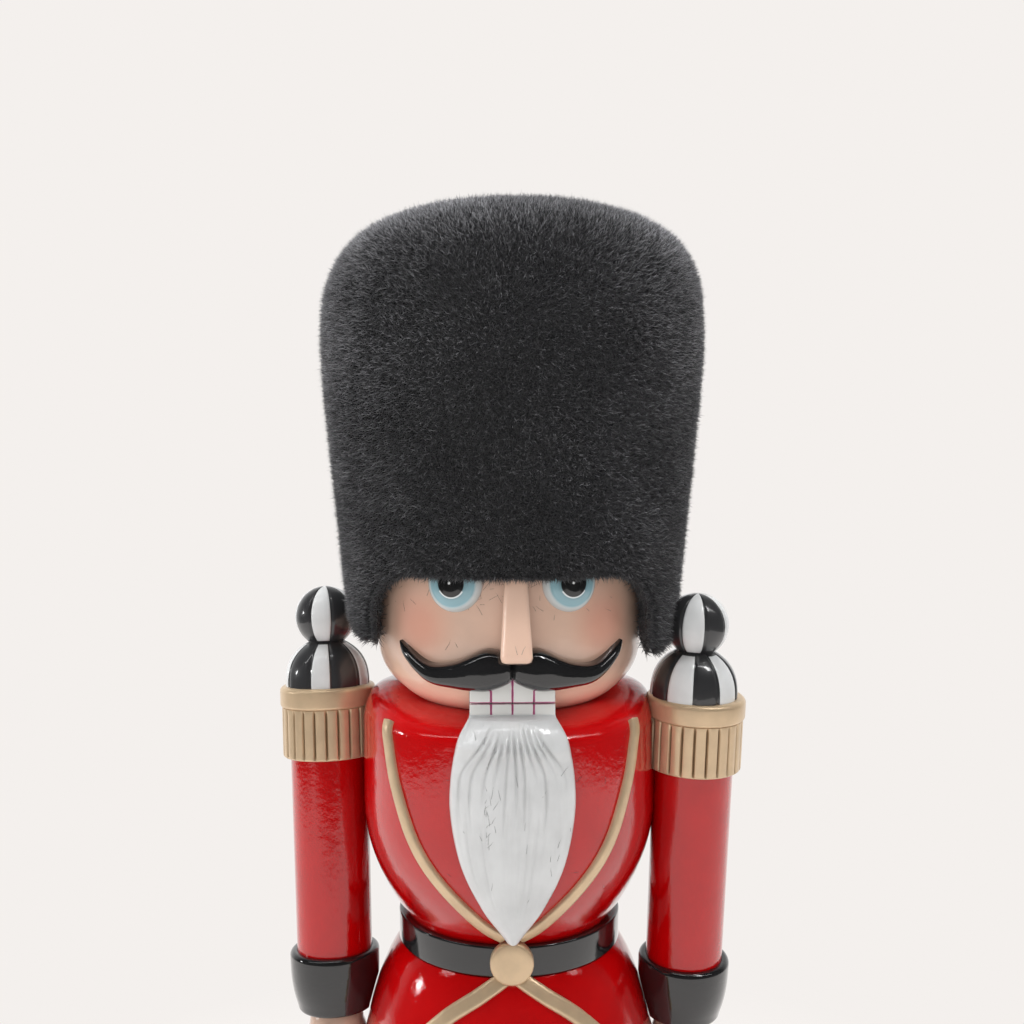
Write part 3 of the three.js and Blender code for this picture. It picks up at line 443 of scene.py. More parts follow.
def hat_profile(inset, steps=40):
    """The hat from its rim to its crown, moved in along its normal."""
    crown = HAT_RIM + 0.65 * (HAT_TOP - HAT_RIM)
    wider = HAT_CROWN_RADIUS - HAT_RIM_RADIUS
    points = bezier(
        (HAT_RIM_RADIUS, HAT_RIM),
        (HAT_RIM_RADIUS + 0.22 * wider, HAT_RIM + 0.35 * (crown - HAT_RIM)),
        (HAT_RIM_RADIUS + 0.8 * wider, HAT_RIM + 0.72 * (crown - HAT_RIM)),
        (HAT_CROWN_RADIUS, crown),
        steps,
    )
    points += bezier(
        (HAT_CROWN_RADIUS, crown),
        (1.005 * HAT_CROWN_RADIUS, crown + 0.56 * (HAT_TOP - crown)),
        (HAT_CROWN_RADIUS, HAT_TOP),
        (0, HAT_TOP),
        steps,
    )
    points = np.array(points + [(0, HAT_TOP)])
    along = unit(np.gradient(points, axis=0))
    moved = points + inset * columns(-along[:, 1], along[:, 0])
    moved[-1] = (0, HAT_TOP - inset)
    return moved


# Arms
def arm_frame(side):
    """The place of an arm, with Z along the sleeve, X away from the coat and the cap's top at zero."""
    points = points_of(side + "_finial")
    middle = points.mean(axis=0)
    spread, axes = np.linalg.eigh(np.cov((points - middle).T))
    up = Vector(axes[:, 0 if spread[1] - spread[0] > spread[2] - spread[1] else 2])
    up = up if up.z > 0 else -up
    top = max((Vector(p) - Vector(middle)).dot(up) for p in points_of(side + "_shoulder_cap"))
    out = Vector((middle[0], middle[1], 0))
    out = (out - up * out.dot(up)).normalized()
    place = Matrix((out, up.cross(out), up)).transposed().to_4x4()
    place.translation = Vector(middle) + up * top
    return place


def nudged(side, place, nudge):
    """A place on the soldier's left moved towards the coat, and one on the right as it is."""
    return Matrix.Translation((-nudge if side == "left" else 0, 0, 0)) @ place


ARMS = {side: arm_frame(side) for side in ("left", "right")}
PLACES = {side: nudged(side, place, ARM_NUDGE) for side, place in ARMS.items()}


def along_arm(side, node):
    """A node's radii and heights in the frame of its arm."""
    local = np.array([ARMS[side].inverted() @ Vector(p) for p in points_of(side + "_" + node)])
    return np.hypot(local[:, 0], local[:, 1]), local[:, 2]


def ball_radius(radii, heights):
    """The radius of the ball on top of a finial."""
    return radii[heights > heights.max() - BALL_SPAN].max()


# Finishes
def add(tree, kind, inputs=None, stops=(), **settings):
    """Add a node: inputs that are sockets are linked, others are set, and stops fill a colour ramp."""
    made = tree.nodes.new("ShaderNode" + kind)
    for name, value in settings.items():
        setattr(made, name, value)
    for name, value in (inputs or {}).items():
        if isinstance(value, bpy.types.NodeSocket):
            tree.links.new(value, made.inputs[name])
        else:
            made.inputs[name].default_value = value
    if stops:
        elements = made.color_ramp.elements
        while len(elements) < len(stops):
            elements.new(0.5)
        for element, (position, value) in zip(elements, stops):
            element.position = position
            element.color = value
    return made


def feed(tree, shader, sources):
    """Link sources to the sockets of a shader."""
    for socket, source in sources.items():
        tree.links.new(source, shader.inputs[socket])


def new_finish(name, **sockets):
    """A new material: its node tree, its Principled shader and its object coordinates."""
    material = bpy.data.materials.new(name)
    material.use_nodes = True
    tree = material.node_tree
    shader = tree.nodes["Principled BSDF"]
    for socket, value in sockets.items():
        shader.inputs[socket.replace("_", " ")].default_value = value
    return tree, shader, add(tree, "TexCoord").outputs["Object"]


def every(millimetres):
    """The scale of a pattern that repeats at a real distance."""
    return 1 / (millimetres * MM)


def shade(value, factor):
    """A colour made darker or lighter by a factor."""
    return [min(1.0, part * factor) for part in value[:3]] + [1.0]


def mottled(tree, place, base, deep, patch):
    """A paint's colour with soft patches where the coat lies thicker, and another in carved grooves."""
    cloud = add(tree, "TexNoise", {"Vector": place, "Scale": every(patch), "Detail": 4.0}).outputs["Fac"]
    tone = add(tree, "ValToRGB", {"Fac": cloud}, [(0.35, base), (0.75, shade(base, 0.86))]).outputs["Color"]
    groove = add(tree, "Attribute", attribute_name="groove").outputs["Fac"]
    return add(tree, "Mix", {"Factor": groove, "A": tone, "B": deep}, data_type="RGBA").outputs[2]


def lacquer(tree, shader, place, paint, wave, height):
    """A paint under lacquer, whose slow waves break up the edges of reflections."""
    waves = {"Vector": place, "Scale": every(wave), "Detail": 5.0, "Roughness": 0.6}
    peel = add(tree, "TexNoise", waves).outputs["Fac"]
    bump = add(tree, "Bump", {"Height": peel, "Strength": 1.0, "Distance": height * MM}).outputs["Normal"]
    feed(tree, shader, {"Base Color": paint, "Normal": bump, "Coat Normal": bump})


def red_enamel(colours):
    # Cast resin, sprayed with red enamel under thick clear lacquer: deep colour, sharp wavy reflections.
    # The lacquer is thin and duller under the chin, where the gun did not reach, and the red there is painted
    # lighter: painted light against the head's shade
    gloss, dull = 0.06, 0.4
    tree, shader, place = new_finish(RED, Roughness=gloss, IOR=1.45, Coat_Weight=1.0, Coat_Roughness=0.02)
    paint = mottled(tree, place, colours.red, shade(colours.red, 0.5), 14)
    bare = add(tree, "Attribute", attribute_name="bare").outputs["Fac"]
    # Under the chin the red is mixed towards a lighter red: painted light
    painted_light_mix = {"Factor": bare, "A": paint, "B": shade(colours.red, 1.6)}
    lacquer(tree, shader, place, add(tree, "Mix", painted_light_mix, data_type="RGBA").outputs[2], 3.2, 0.11)
    gleam = {"Factor": bare, "A": linear("#FFFFFF"), "B": colours.red}
    wear = {"Value": bare, "To Min": gloss, "To Max": dull}
    thin = {
        "Coat Weight": add(tree, "Math", {0: 1.0, 1: bare}, operation="SUBTRACT").outputs[0],
        "Roughness": add(tree, "MapRange", wear).outputs["Result"],
        "Specular Tint": add(tree, "Mix", gleam, data_type="RGBA").outputs[2],
    }
    feed(tree, shader, thin)


def black_enamel(colours):
    # Cast resin, dipped in black enamel: nearly black, so that reflections carry the shape
    tree, shader, place = new_finish(BLACK, Roughness=0.08, IOR=1.5, Coat_Weight=1.0, Coat_Roughness=0.02)
    paint = mottled(tree, place, colours.black, shade(colours.black, 0.5), 10)
    lacquer(tree, shader, place, paint, 3.2, 0.05)


def gore_enamel(colours):
    # Cast resin, brushed with thinned black enamel, which dries to charcoal under a level coat of lacquer
    tree, shader, place = new_finish(GORE, Roughness=0.3, IOR=1.5, Coat_Weight=1.0, Coat_Roughness=0.03)
    charcoal = shade(colours.black, 2.6)
    paint = mottled(tree, place, charcoal, shade(charcoal, 0.5), 10)
    lacquer(tree, shader, place, paint, 3.2, 0.008)


def white_enamel(colours):
    # Cast resin, brushed with white enamel: a soft sheen, greyer in the carved grooves
    tree, shader, place = new_finish(WHITE, Roughness=0.32, IOR=1.5, Coat_Weight=0.9, Coat_Roughness=0.06)
    paint = mottled(tree, place, colours.white, shade(colours.white, 0.55), 9)
    lacquer(tree, shader, place, paint, 3, 0.03)


def gold_bronze_paint(colours):
    # Bronze powder in varnish, brushed on: a satin sheen, with brown left in the grooves
    sheen = {"Metallic": 0.55, "Coat_Weight": 0.25, "Coat_Roughness": 0.2}
    tree, shader, place = new_finish(GOLD, Roughness=0.35, **sheen)
    paint = mottled(tree, place, colours.gold, linear("#75573A"), 6)
    lacquer(tree, shader, place, paint, 1.6, 0.03)


def skin_enamel(colours):
    # Cast resin, sprayed with skin-coloured enamel, with blush dusted on the cheeks before the lacquer; the
    # chin and the nose are painted lighter, as painted light
    tree, shader, place = new_finish(SKIN, Roughness=0.3, IOR=1.5, Coat_Weight=0.8, Coat_Roughness=0.06)
    paint = mottled(tree, place, colours.skin, shade(colours.skin, 0.5), 16)
    cheek = np.abs(around(HEAD_RADIUS, math.radians(CHEEK[0]), CHIN + CHEEK[1]))
    mirrored = add(tree, "VectorMath", {0: place}, operation="ABSOLUTE").outputs[0]
    away = add(tree, "VectorMath", {0: mirrored, 1: cheek}, operation="DISTANCE").outputs["Value"]
    fade = {"Value": away, "From Min": 2 * MM, "From Max": 16 * MM, "To Min": 0.7, "To Max": 0.0}
    dust = add(tree, "MapRange", fade, interpolation_type="SMOOTHSTEP").outputs["Result"]
    # The pale attribute paints the chin under the moustache and the nose lighter: painted light
    pale = add(tree, "Attribute", attribute_name="pale").outputs["Fac"]
    for factor, tone in ((dust, colours.blush), (pale, shade(colours.skin, 1.4))):
        paint = add(tree, "Mix", {"Factor": factor, "A": paint, "B": tone}, data_type="RGBA").outputs[2]
    lacquer(tree, shader, place, paint, 5, 0.03)


def tooth_enamel(colours):
    # White enamel with thin lines drawn between the teeth by brush, on their fronts only
    tree, shader, place = new_finish(TOOTH, Roughness=0.3, IOR=1.5, Coat_Weight=0.7, Coat_Roughness=0.08)
    axes = add(tree, "SeparateXYZ", {0: place}).outputs
    wobble = add(tree, "TexNoise", {"Vector": place, "Scale": every(2.5)}).outputs["Fac"]
    thin, thick = 0.16 * MM, 0.5 * MM
    width = add(tree, "MapRange", {"Value": wobble, "To Min": thin, "To Max": thick}).outputs["Result"]
    pitch = (TEETH_HIGH.x - TEETH_LOW.x) / 4
    inside = add(tree, "Math", {0: axes["X"]}, operation="ABSOLUTE").outputs[0]
    inside = add(tree, "Math", {0: inside, 1: 1.5 * pitch}, operation="LESS_THAN").outputs[0]
    across = add(tree, "Math", {0: axes["X"], 1: pitch / 2}, operation="PINGPONG").outputs[0]
    upright = add(tree, "Math", {0: across, 1: width}, operation="LESS_THAN").outputs[0]
    upright = add(tree, "Math", {0: upright, 1: inside}, operation="MULTIPLY").outputs[0]
    seam = add(tree, "Math", {0: axes["Z"], 1: TEETH_LOW.z}, operation="SUBTRACT").outputs[0]
    seam = add(tree, "Math", {0: seam}, operation="ABSOLUTE").outputs[0]
    level = add(tree, "Math", {0: seam, 1: width}, operation="LESS_THAN").outputs[0]
    drawn = add(tree, "Math", {0: upright, 1: level}, operation="MAXIMUM").outputs[0]
    front = max(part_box(row + "_teeth")[0].y for row in ("upper", "lower")) + 0.7 * MM
    facing = add(tree, "Math", {0: axes["Y"], 1: front}, operation="LESS_THAN").outputs[0]
    drawn = add(tree, "Math", {0: drawn, 1: facing}, operation="MULTIPLY").outputs[0]
    lines = {"Factor": drawn, "A": colours.tooth, "B": colours.tooth_line}
    lacquer(tree, shader, place, add(tree, "Mix", lines, data_type="RGBA").outputs[2], 3, 0.02)


def eye_enamel(colours):
    # Rings of enamel painted one over the other, under a drop of clear lacquer, with a painted highlight on
    # the pupil and under it
    tree, shader, place = new_finish(EYE, Roughness=0.2, IOR=1.5, Coat_Weight=1.0, Coat_Roughness=0.02)
    pupil = linear("#0B0B0C")
    white = linear("#BEC4C4")
    stops = [
        (0.0, pupil),
        (0.46, pupil),
        (0.48, shade(colours.iris, 0.75)),
        (0.58, shade(colours.iris, 0.95)),
        (0.77, colours.iris),
        (0.81, linear("#A9BFC4")),
        (0.85, white),
        (0.97, white),
        (1.0, linear("#C9A896")),
    ]
    ring = add(tree, "Attribute", attribute_name="ring").outputs["Fac"]
    rings = add(tree, "ValToRGB", {"Fac": ring}, stops).outputs["Color"]
    glint = add(tree, "Attribute", attribute_name="glint").outputs["Fac"]
    paint = {"Factor": glint, "A": rings, "B": linear("#F4F6F6")}
    lacquer(tree, shader, place, add(tree, "Mix", paint, data_type="RGBA").outputs[2], 4, 0.01)


def acrylic_pile(colours):
    # Spun acrylic fibres, sheared to one length: dull black, with a dry gleam along each fibre
    tree, shader, _ = new_finish(PILE, Roughness=0.5, IOR=1.48, Sheen_Weight=0.15, Sheen_Roughness=0.4)
    stops = [(0.0, colours.pile), (0.5, shade(colours.pile, 2.0)), (1.0, colours.pile_light)]
    # The shade attribute holds each fibre's tone, with painted shade at the roots and painted light towards
    # the crown and sides
    tone = add(tree, "Attribute", attribute_name="shade").outputs["Fac"]
    feed(tree, shader, {"Base Color": add(tree, "ValToRGB", {"Fac": tone}, stops).outputs["Color"]})


def grained(name, light, dark, spacing, detail, strength, depth, **sockets):
    """A bare material with a fine grain in its colour and its relief."""
    tree, shader, place = new_finish(name, **sockets)
    grain = add(tree, "TexNoise", {"Vector": place, "Scale": every(spacing), "Detail": detail}).outputs["Fac"]
    tone = add(tree, "ValToRGB", {"Fac": grain}, [(0.3, dark), (0.7, light)]).outputs["Color"]
    bump = add(tree, "Bump", {"Height": grain, "Strength": strength, "Distance": depth * MM})
    feed(tree, shader, {"Base Color": tone, "Normal": bump.outputs["Normal"]})


def knitted_backing(colours):
    # Black knitted cloth that the pile is worked into: dull, with stitches a little over a millimetre apart
    light, dark = shade(colours.pile, 1.4), shade(colours.pile, 0.6)
    grained(BACKING, light, dark, 1.2, 2.0, 0.6, 0.2, Roughness=0.95, IOR=1.45)


def inner_finishes():
    """What lies inside and under the soldier."""
    # Polyester wadding, carded into soft clumps: off-white and dull
    grained(WADDING, linear("#E2DECF"), linear("#B9B4A2"), 3, 5.0, 0.5, 0.3, Roughness=0.95)
    # Felt, pressed from dyed wool: dark green and dull
    grained(FELT, linear("#28332B"), linear("#141B16"), 0.8, 5.0, 0.5, 0.15, Roughness=0.95)
    # Steel rod, drawn through a die: a soft grey gleam
    grained(STEEL, linear("#A6A9AD"), linear("#85888C"), 0.6, 5.0, 0.5, 0.01, Roughness=0.35, Metallic=1.0)
    # Birch dowel, turned and left bare: pale brown with a faint grain
    grained(WOOD, linear("#CFA673"), linear("#A87F50"), 1.5, 5.0, 0.5, 0.05, Roughness=0.6)


class PieceMaker:
    """What the makers share: each can be undone, and works with the scene's sizes and colours."""

    bl_options = {"REGISTER", "UNDO"}

    @property
    def sizes(self):
        return bpy.context.scene.nutcracker_sizes

    @property
    def colours(self):
        return bpy.context.scene.nutcracker_colours


class NUTCRACKER_OT_finishes(PieceMaker, bpy.types.Operator):
    """Mix the paints, fibres and other finishes"""

    bl_idname = "nutcracker.finishes"
    bl_label = "Finishes"

    def execute(self, context):
        paints = (red_enamel, black_enamel, gore_enamel, white_enamel, skin_enamel, gold_bronze_paint)
        others = (tooth_enamel, eye_enamel, acrylic_pile, knitted_backing)
        for mix in paints + others:
            mix(self.colours)
        inner_finishes()
        return {"FINISHED"}


class NUTCRACKER_OT_coat(PieceMaker, bpy.types.Operator):
    """Turn the body and the skirt of the coat, with the slots of the jaw"""

    bl_idname = "nutcracker.coat"
    bl_label = "Coat"

    def execute(self, context):
        past = 5 * MM
        sky = TORSO_TOP + past
        throat_floor, throat_back = PIN_LEVEL + 16 * MM, -11 * MM
        lever_half, lever_top = 7.1 * MM, PIN_LEVEL + 23.4 * MM
        lever_front, lever_back = 9 * MM - CHEST_RADIUS, 10 * MM
        under_pin = PIN_LEVEL - 10 * MM
        body = turned("coat_body", coat_profile(self.sizes.shoulder_round), 144)
        bend(body, saddled)
        chin = turned("cutter", head_profile(0.02 * MM), 144)
        bend(chin, sunk)
        bore = turned("cutter", rod(2.2 * MM, -60 * MM, 60 * MM), 24)
        bore.data.transform(Matrix.Translation((0, 0, PIN_LEVEL)) @ Matrix.Rotation(math.pi / 2, 4, "Y"))
        cut(
            body,
            *self.arm_seats(past),
            chin,
            block(MOUTH_HALF, -CHEST_RADIUS - past, throat_back, throat_floor, sky),
            block(lever_half, lever_front, lever_back, under_pin, sky),
            block(lever_half, 0, CHEST_RADIUS + past, under_pin, lever_top),
            bore,
        )
        spots = vertices_of(body)
        # Under the chin, where the head shades the coat, the lacquer is thinner and the red is painted
        # lighter: painted light
        high = share_of(spots[:, 2] - TORSO_TOP + 9 * MM, 4 * MM) * (spots[:, 1] < 0)
        note(body, "bare", 0.65 * high * share_of(42 * MM - np.abs(spots[:, 0]), 6 * MM))
        dress(body, RED, "torso", sharp=32)
        dress(turned("coat_tails", skirt_profile(), 144), RED, "coat_skirt", sharp=32)
        return {"FINISHED"}

    def arm_seats(self, past):
        """Tools for the hollows that the shoulder caps are glued into."""
        gap = 0.1 * MM
        for side, place in PLACES.items():
            radii, heights = along_arm(side, "shoulder_cap")
            seat = turned("cutter", rod(radii.max() + gap, heights.min() - gap, past), 96)
            seat.data.transform(place)
            yield seat


class NUTCRACKER_OT_belt(PieceMaker, bpy.types.Operator):
    """Turn the belt and its round buckle"""

    bl_idname = "nutcracker.belt"
    bl_label = "Belt and buckle"

    def execute(self, context):
        low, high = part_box("belt")
        inner = WAIST_RADIUS + 0.1 * MM
        edge = 0.7 * MM
        profile = [(inner, low.z)]
        profile += corner((BELT_RADIUS - edge, low.z + edge), edge, -90, 0)
        profile += corner((BELT_RADIUS - edge, high.z - edge), edge, 0, 90)
        profile += [(inner, high.z), (inner, low.z)]
        dress(turned("waist_belt", profile, 144), BLACK, "belt")
        low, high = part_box("belt_buckle")
        radius = (high.x - low.x) / 2
        depth = high.y - low.y
        edge = 1.1 * MM
        domed = [(0.6, 0.15), (0.3, 0.25), (0, 0.28)]
        profile = [(0, 0), (radius, 0)]
        profile += corner((radius - edge, depth - edge), edge, 0, 80)
        profile += [(share * radius, depth + rise * MM) for share, rise in domed]
        buckle = turned("round_buckle", profile, 64)
        turn = Matrix.Rotation(math.pi / 2, 4, "X")
        buckle.data.transform(Matrix.Translation((0, high.y, (low.z + high.z) / 2)) @ turn)
        dress(buckle, GOLD, "belt_buckle")
        return {"FINISHED"}


class NUTCRACKER_OT_cords(PieceMaker, bpy.types.Operator):
    """Lay the gold cords on the chest and on the skirt"""

    bl_idname = "nutcracker.cords"
    bl_label = "Cords"

    def execute(self, context):
        sizes = self.sizes
        height = TORSO_TOP - WAIST
        drop = WAIST - HEM
        # Stops that a cord runs through: degrees from the front, and height
        down_chest = [
            (52.6, TORSO_TOP - 0.7 * sizes.shoulder_round),
            (51.2, TORSO_TOP - 0.13 * height),
            (46.5, TORSO_TOP - 0.3 * height),
            (34, TORSO_TOP - 0.55 * height),
            (15, TORSO_TOP - 0.77 * height),
            (4, BELT_TOP + 3.2 * MM),
        ]
        down_skirt = [
            (2.5, WAIST + 0.5 * MM),
            (14, WAIST - 0.1 * drop),
            (29, WAIST - 0.28 * drop),
            (45, WAIST - 0.6 * drop),
            (54, HEM + 2.5 * MM),
        ]
        chest = coat_profile(sizes.shoulder_round)
        skirt = skirt_profile()
        for name, side in (("left", 1), ("right", -1)):
            piece = self.cord(name + "_chest_braid", chest, side, sizes.chest_cord_width, down_chest)
            bend(piece, saddled)
            dress(piece, GOLD, name + "_chest_cord")
            piece = self.cord(name + "_skirt_braid", skirt, side, sizes.skirt_cord_width, down_skirt)
            dress(piece, GOLD, name + "_skirt_cord")
        return {"FINISHED"}

    def cord(self, name, profile, side, width, stops):
        """A raised cord on a turned surface, on one side of the middle."""
        outline = np.array([p for p in profile if p[0] > 0])
        outline = outline[np.argsort(outline[:, 1], kind="stable")]

        def radius_at(z):
            return np.interp(z, outline[:, 1], outline[:, 0])

        degrees, level = spline(stops, np.linspace(0, 1, 72)).T
        angle = side * np.radians(degrees)
        reach = 0.5 * MM
        slope = (radius_at(level + reach) - radius_at(level - reach)) / (2 * reach)
        centre = around(radius_at(level), angle, level)
        out = unit(around(1, angle, -slope))
        over = unit(np.cross(np.gradient(centre, axis=0), out))
        turns = np.linspace(0, math.pi, 13)
        across = squarish(np.cos(turns), 0.6) * width / 2
        raised = squarish(np.sin(turns), 0.6) * self.sizes.cord_thickness
        root = -0.4 * MM
        section = [(-0.5 * width, root), *zip(-across, raised), (0.5 * width, root)]
        rings = np.stack([centre + w * over + h * out for w, h in section], axis=1)
        rings[:, :, 0] = side * np.maximum(side * rings[:, :, 0], 0.15 * MM)
        return loft(name, rings)


class NUTCRACKER_OT_head(PieceMaker, bpy.types.Operator):
    """Turn the head, cut the mouth and add the nose"""

    bl_idname = "nutcracker.head"
    bl_label = "Head and nose"

    def execute(self, context):
        palate = TEETH_HIGH.z + 0.3 * MM
        face = turned("face", head_profile(), 144)
        bend(face, sunk)
        cut(face, block(MOUTH_HALF, -2 * HEAD_RADIUS, 34 * MM - HEAD_RADIUS, CHIN - 5 * MM, palate))
        # The chin is painted paler towards the coat: painted light against the shade under the moustache
        note(face, "pale", share_of(CHIN + 14 * MM - vertices_of(face)[:, 2], 9 * MM))
        dress(face, SKIN, "head", sharp=35)
        self.nose()
        return {"FINISHED"}

    def nose(self):
        """A wedge with a flat ridge and rounded edges, a little to the soldier's left."""
        low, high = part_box("nose")
        low.z -= 1.3 * MM
        shift = 1 * MM
        bulge = -low.y - HEAD_RADIUS
        # From the tip to the brow: the share of the height, and there of the width and of the bulge
        stations = [(0, 0.74, 0.72), (0.025, 0.92, 0.95), (0.07, 1, 1), (0.5, 0.84, 0.66), (1, 0.68, 0.24)]
        # Half of a section, in half widths: sideways from its middle, and back from the ridge
        section = [(1, 0.42), (0.98, 0.34), (0.92, 0.22), (0.82, 0.09), (0.74, 0.03), (0.62, 0)]
        rings = []
        for share in (0, 0.01, 0.025, 0.045, 0.07, 0.1, 0.16, 0.24, 0.34, 0.46, 0.6, 0.74, 0.88, 1):
            wide, out = read_off(stations, share)
            half = high.x * wide
            ridge = -HEAD_RADIUS - bulge * out
            z = low.z + share * (high.z - low.z)
            side = [(half, 3 * MM - HEAD_RADIUS)] + [(x * half, ridge + y * half) for x, y in section]
            right = [(shift - x, y, z) for x, y in side]
            rings.append(right + [(shift + x, y, z) for x, y in reversed(side)])
        nose = loft("nose_ridge", rings)
        # The nose is painted paler than the face: a painted highlight
        note(nose, "pale", 0.6)
        dress(nose, SKIN, "nose", sharp=50)


class NUTCRACKER_OT_eyes(PieceMaker, bpy.types.Operator):
    """Shape the eyes, with rings for the painted pupil, iris and white"""

    bl_idname = "nutcracker.eyes"
    bl_label = "Eyes"

    def execute(self, context):
        outer = self.sizes.eye_radius
        skirt = 1.04
        root = -3 * MM
        # The share of the radius, and there of the bulge
        heights = [(0, 1), (0.3, 0.97), (0.45, 0.9), (0.6, 0.79), (0.72, 0.66), (0.75, 0.6), (0.79, 0.6)]
        heights += [(0.86, 0.55), (0.93, 0.36), (0.98, 0.12), (1.02, -0.25), (skirt, -0.8)]
        radii = np.linspace(0, skirt, 90)
        rise = read_off(heights, radii)[0] * self.sizes.eye_bulge
        rise = np.convolve(np.pad(rise, 3, mode="edge"), np.ones(7) / 7, mode="valid")
        profile = list(zip(radii * outer, rise)) + [(skirt * outer, root), (0, root)]
        for name in ("left", "right"):
            eye = turned(name + "_painted_eye", profile, 96)
            x, y, z = vertices_of(eye).T
            ring = np.hypot(x, y) / outer
            # A white dot on the pupil and a pale crescent under it: painted highlights
            crescent = (ring > 0.46) & (ring < 0.505) & (np.abs(np.arctan2(x, y)) < 1.0)
            dot = np.hypot(x + 0.35 * MM, y + 0.1 * MM) < 0.4 * MM
            note(eye, "ring", ring)
            note(eye, "glint", np.where(dot, 1.0, np.where(crescent, 0.75, 0.0)))
            drop = HEAD_RADIUS - np.sqrt(HEAD_RADIUS**2 - x**2)
            reshape(eye, columns(x, drop - z, -y))
            points = points_of(name + "_eye")
            middle = points.mean(axis=0)
            turn = math.atan2(middle[0], -middle[1])
            level = (points[:, 2].min() + points[:, 2].max()) / 2
            spot = Matrix.Translation(around(HEAD_RADIUS, turn, level))
            eye.data.transform(spot @ Matrix.Rotation(turn, 4, "Z"))
            dress(eye, EYE, name + "_eye", sharp=60)
        return {"FINISHED"}


class NUTCRACKER_OT_moustache(PieceMaker, bpy.types.Operator):
    """Loft the two lobes of the moustache"""

    bl_idname = "nutcracker.moustache"
    bl_label = "Moustache"

    def execute(self, context):
        # Degrees from the middle, and there the lift, the height and the bulge as shares of the largest
        stations = [
            (0, 0.04, 0.56, 0.55),
            (1.6, 0.03, 0.76, 0.8),
            (6, 0.01, 0.98, 0.98),
            (11.5, -0.03, 1.05, 1),
            (22.5, -0.17, 0.68, 0.8),
            (34, -0.16, 0.48, 0.6),
            (45.5, 0.26, 0.32, 0.4),
            (50, 0.5, 0.1, 0.18),
        ]
        level = CHIN + 16 * MM
        root = 0.6 * MM
        turns = -np.arange(40) * FULL_TURN / 40
        flat = squarish(np.cos(turns), 0.7)
        tall = squarish(np.sin(turns), 0.8)
        rings = []
        for place in np.linspace(-1, 1, 121):
            degrees, lift, height, out = spline(stations, [abs(place)])[0]
            angle = math.copysign(math.radians(degrees), place)
            radius = HEAD_RADIUS - root + (out * self.sizes.moustache_bulge + root) * flat
            z = level + self.sizes.moustache_height * (lift + 0.5 * height * tall)
            rings.append(around(radius, angle, z))
        dress(loft("moustache_lobes", rings), BLACK, "moustache", sharp=60)
        return {"FINISHED"}


class NUTCRACKER_OT_teeth(PieceMaker, bpy.types.Operator):
    """Set the two rows of teeth"""

    bl_idname = "nutcracker.teeth"
    bl_label = "Teeth"

    def execute(self, context):
        for row, body in (("upper", "figure"), ("lower", "jaw")):
            dress(self.tooth_row(row), TOOTH, row + "_teeth", body=body)
        return {"FINISHED"}

    def tooth_row(self, row):
        """Four teeth with rounded edges, side by side."""
        low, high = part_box(row + "_teeth")
        pitch = (high.x - low.x) / 4
        size = Matrix.Diagonal((pitch - 0.02 * MM, high.y - low.y, high.z - low.z, 1))
        shape = bmesh.new()
        for k in range(4):
            middle = Vector((low.x + (k + 0.5) * pitch, (low.y + high.y) / 2, (low.z + high.z) / 2))
            tooth = bmesh.ops.create_cube(shape, size=1, matrix=Matrix.Translation(middle) @ size)
            edges = {e for v in tooth["verts"] for e in v.link_edges}
            edge = self.sizes.tooth_edge
            bmesh.ops.bevel(shape, geom=list(edges), offset=edge, segments=3, profile=0.5, affect="EDGES")
        return piece_of(row + "_tooth_row", shape)


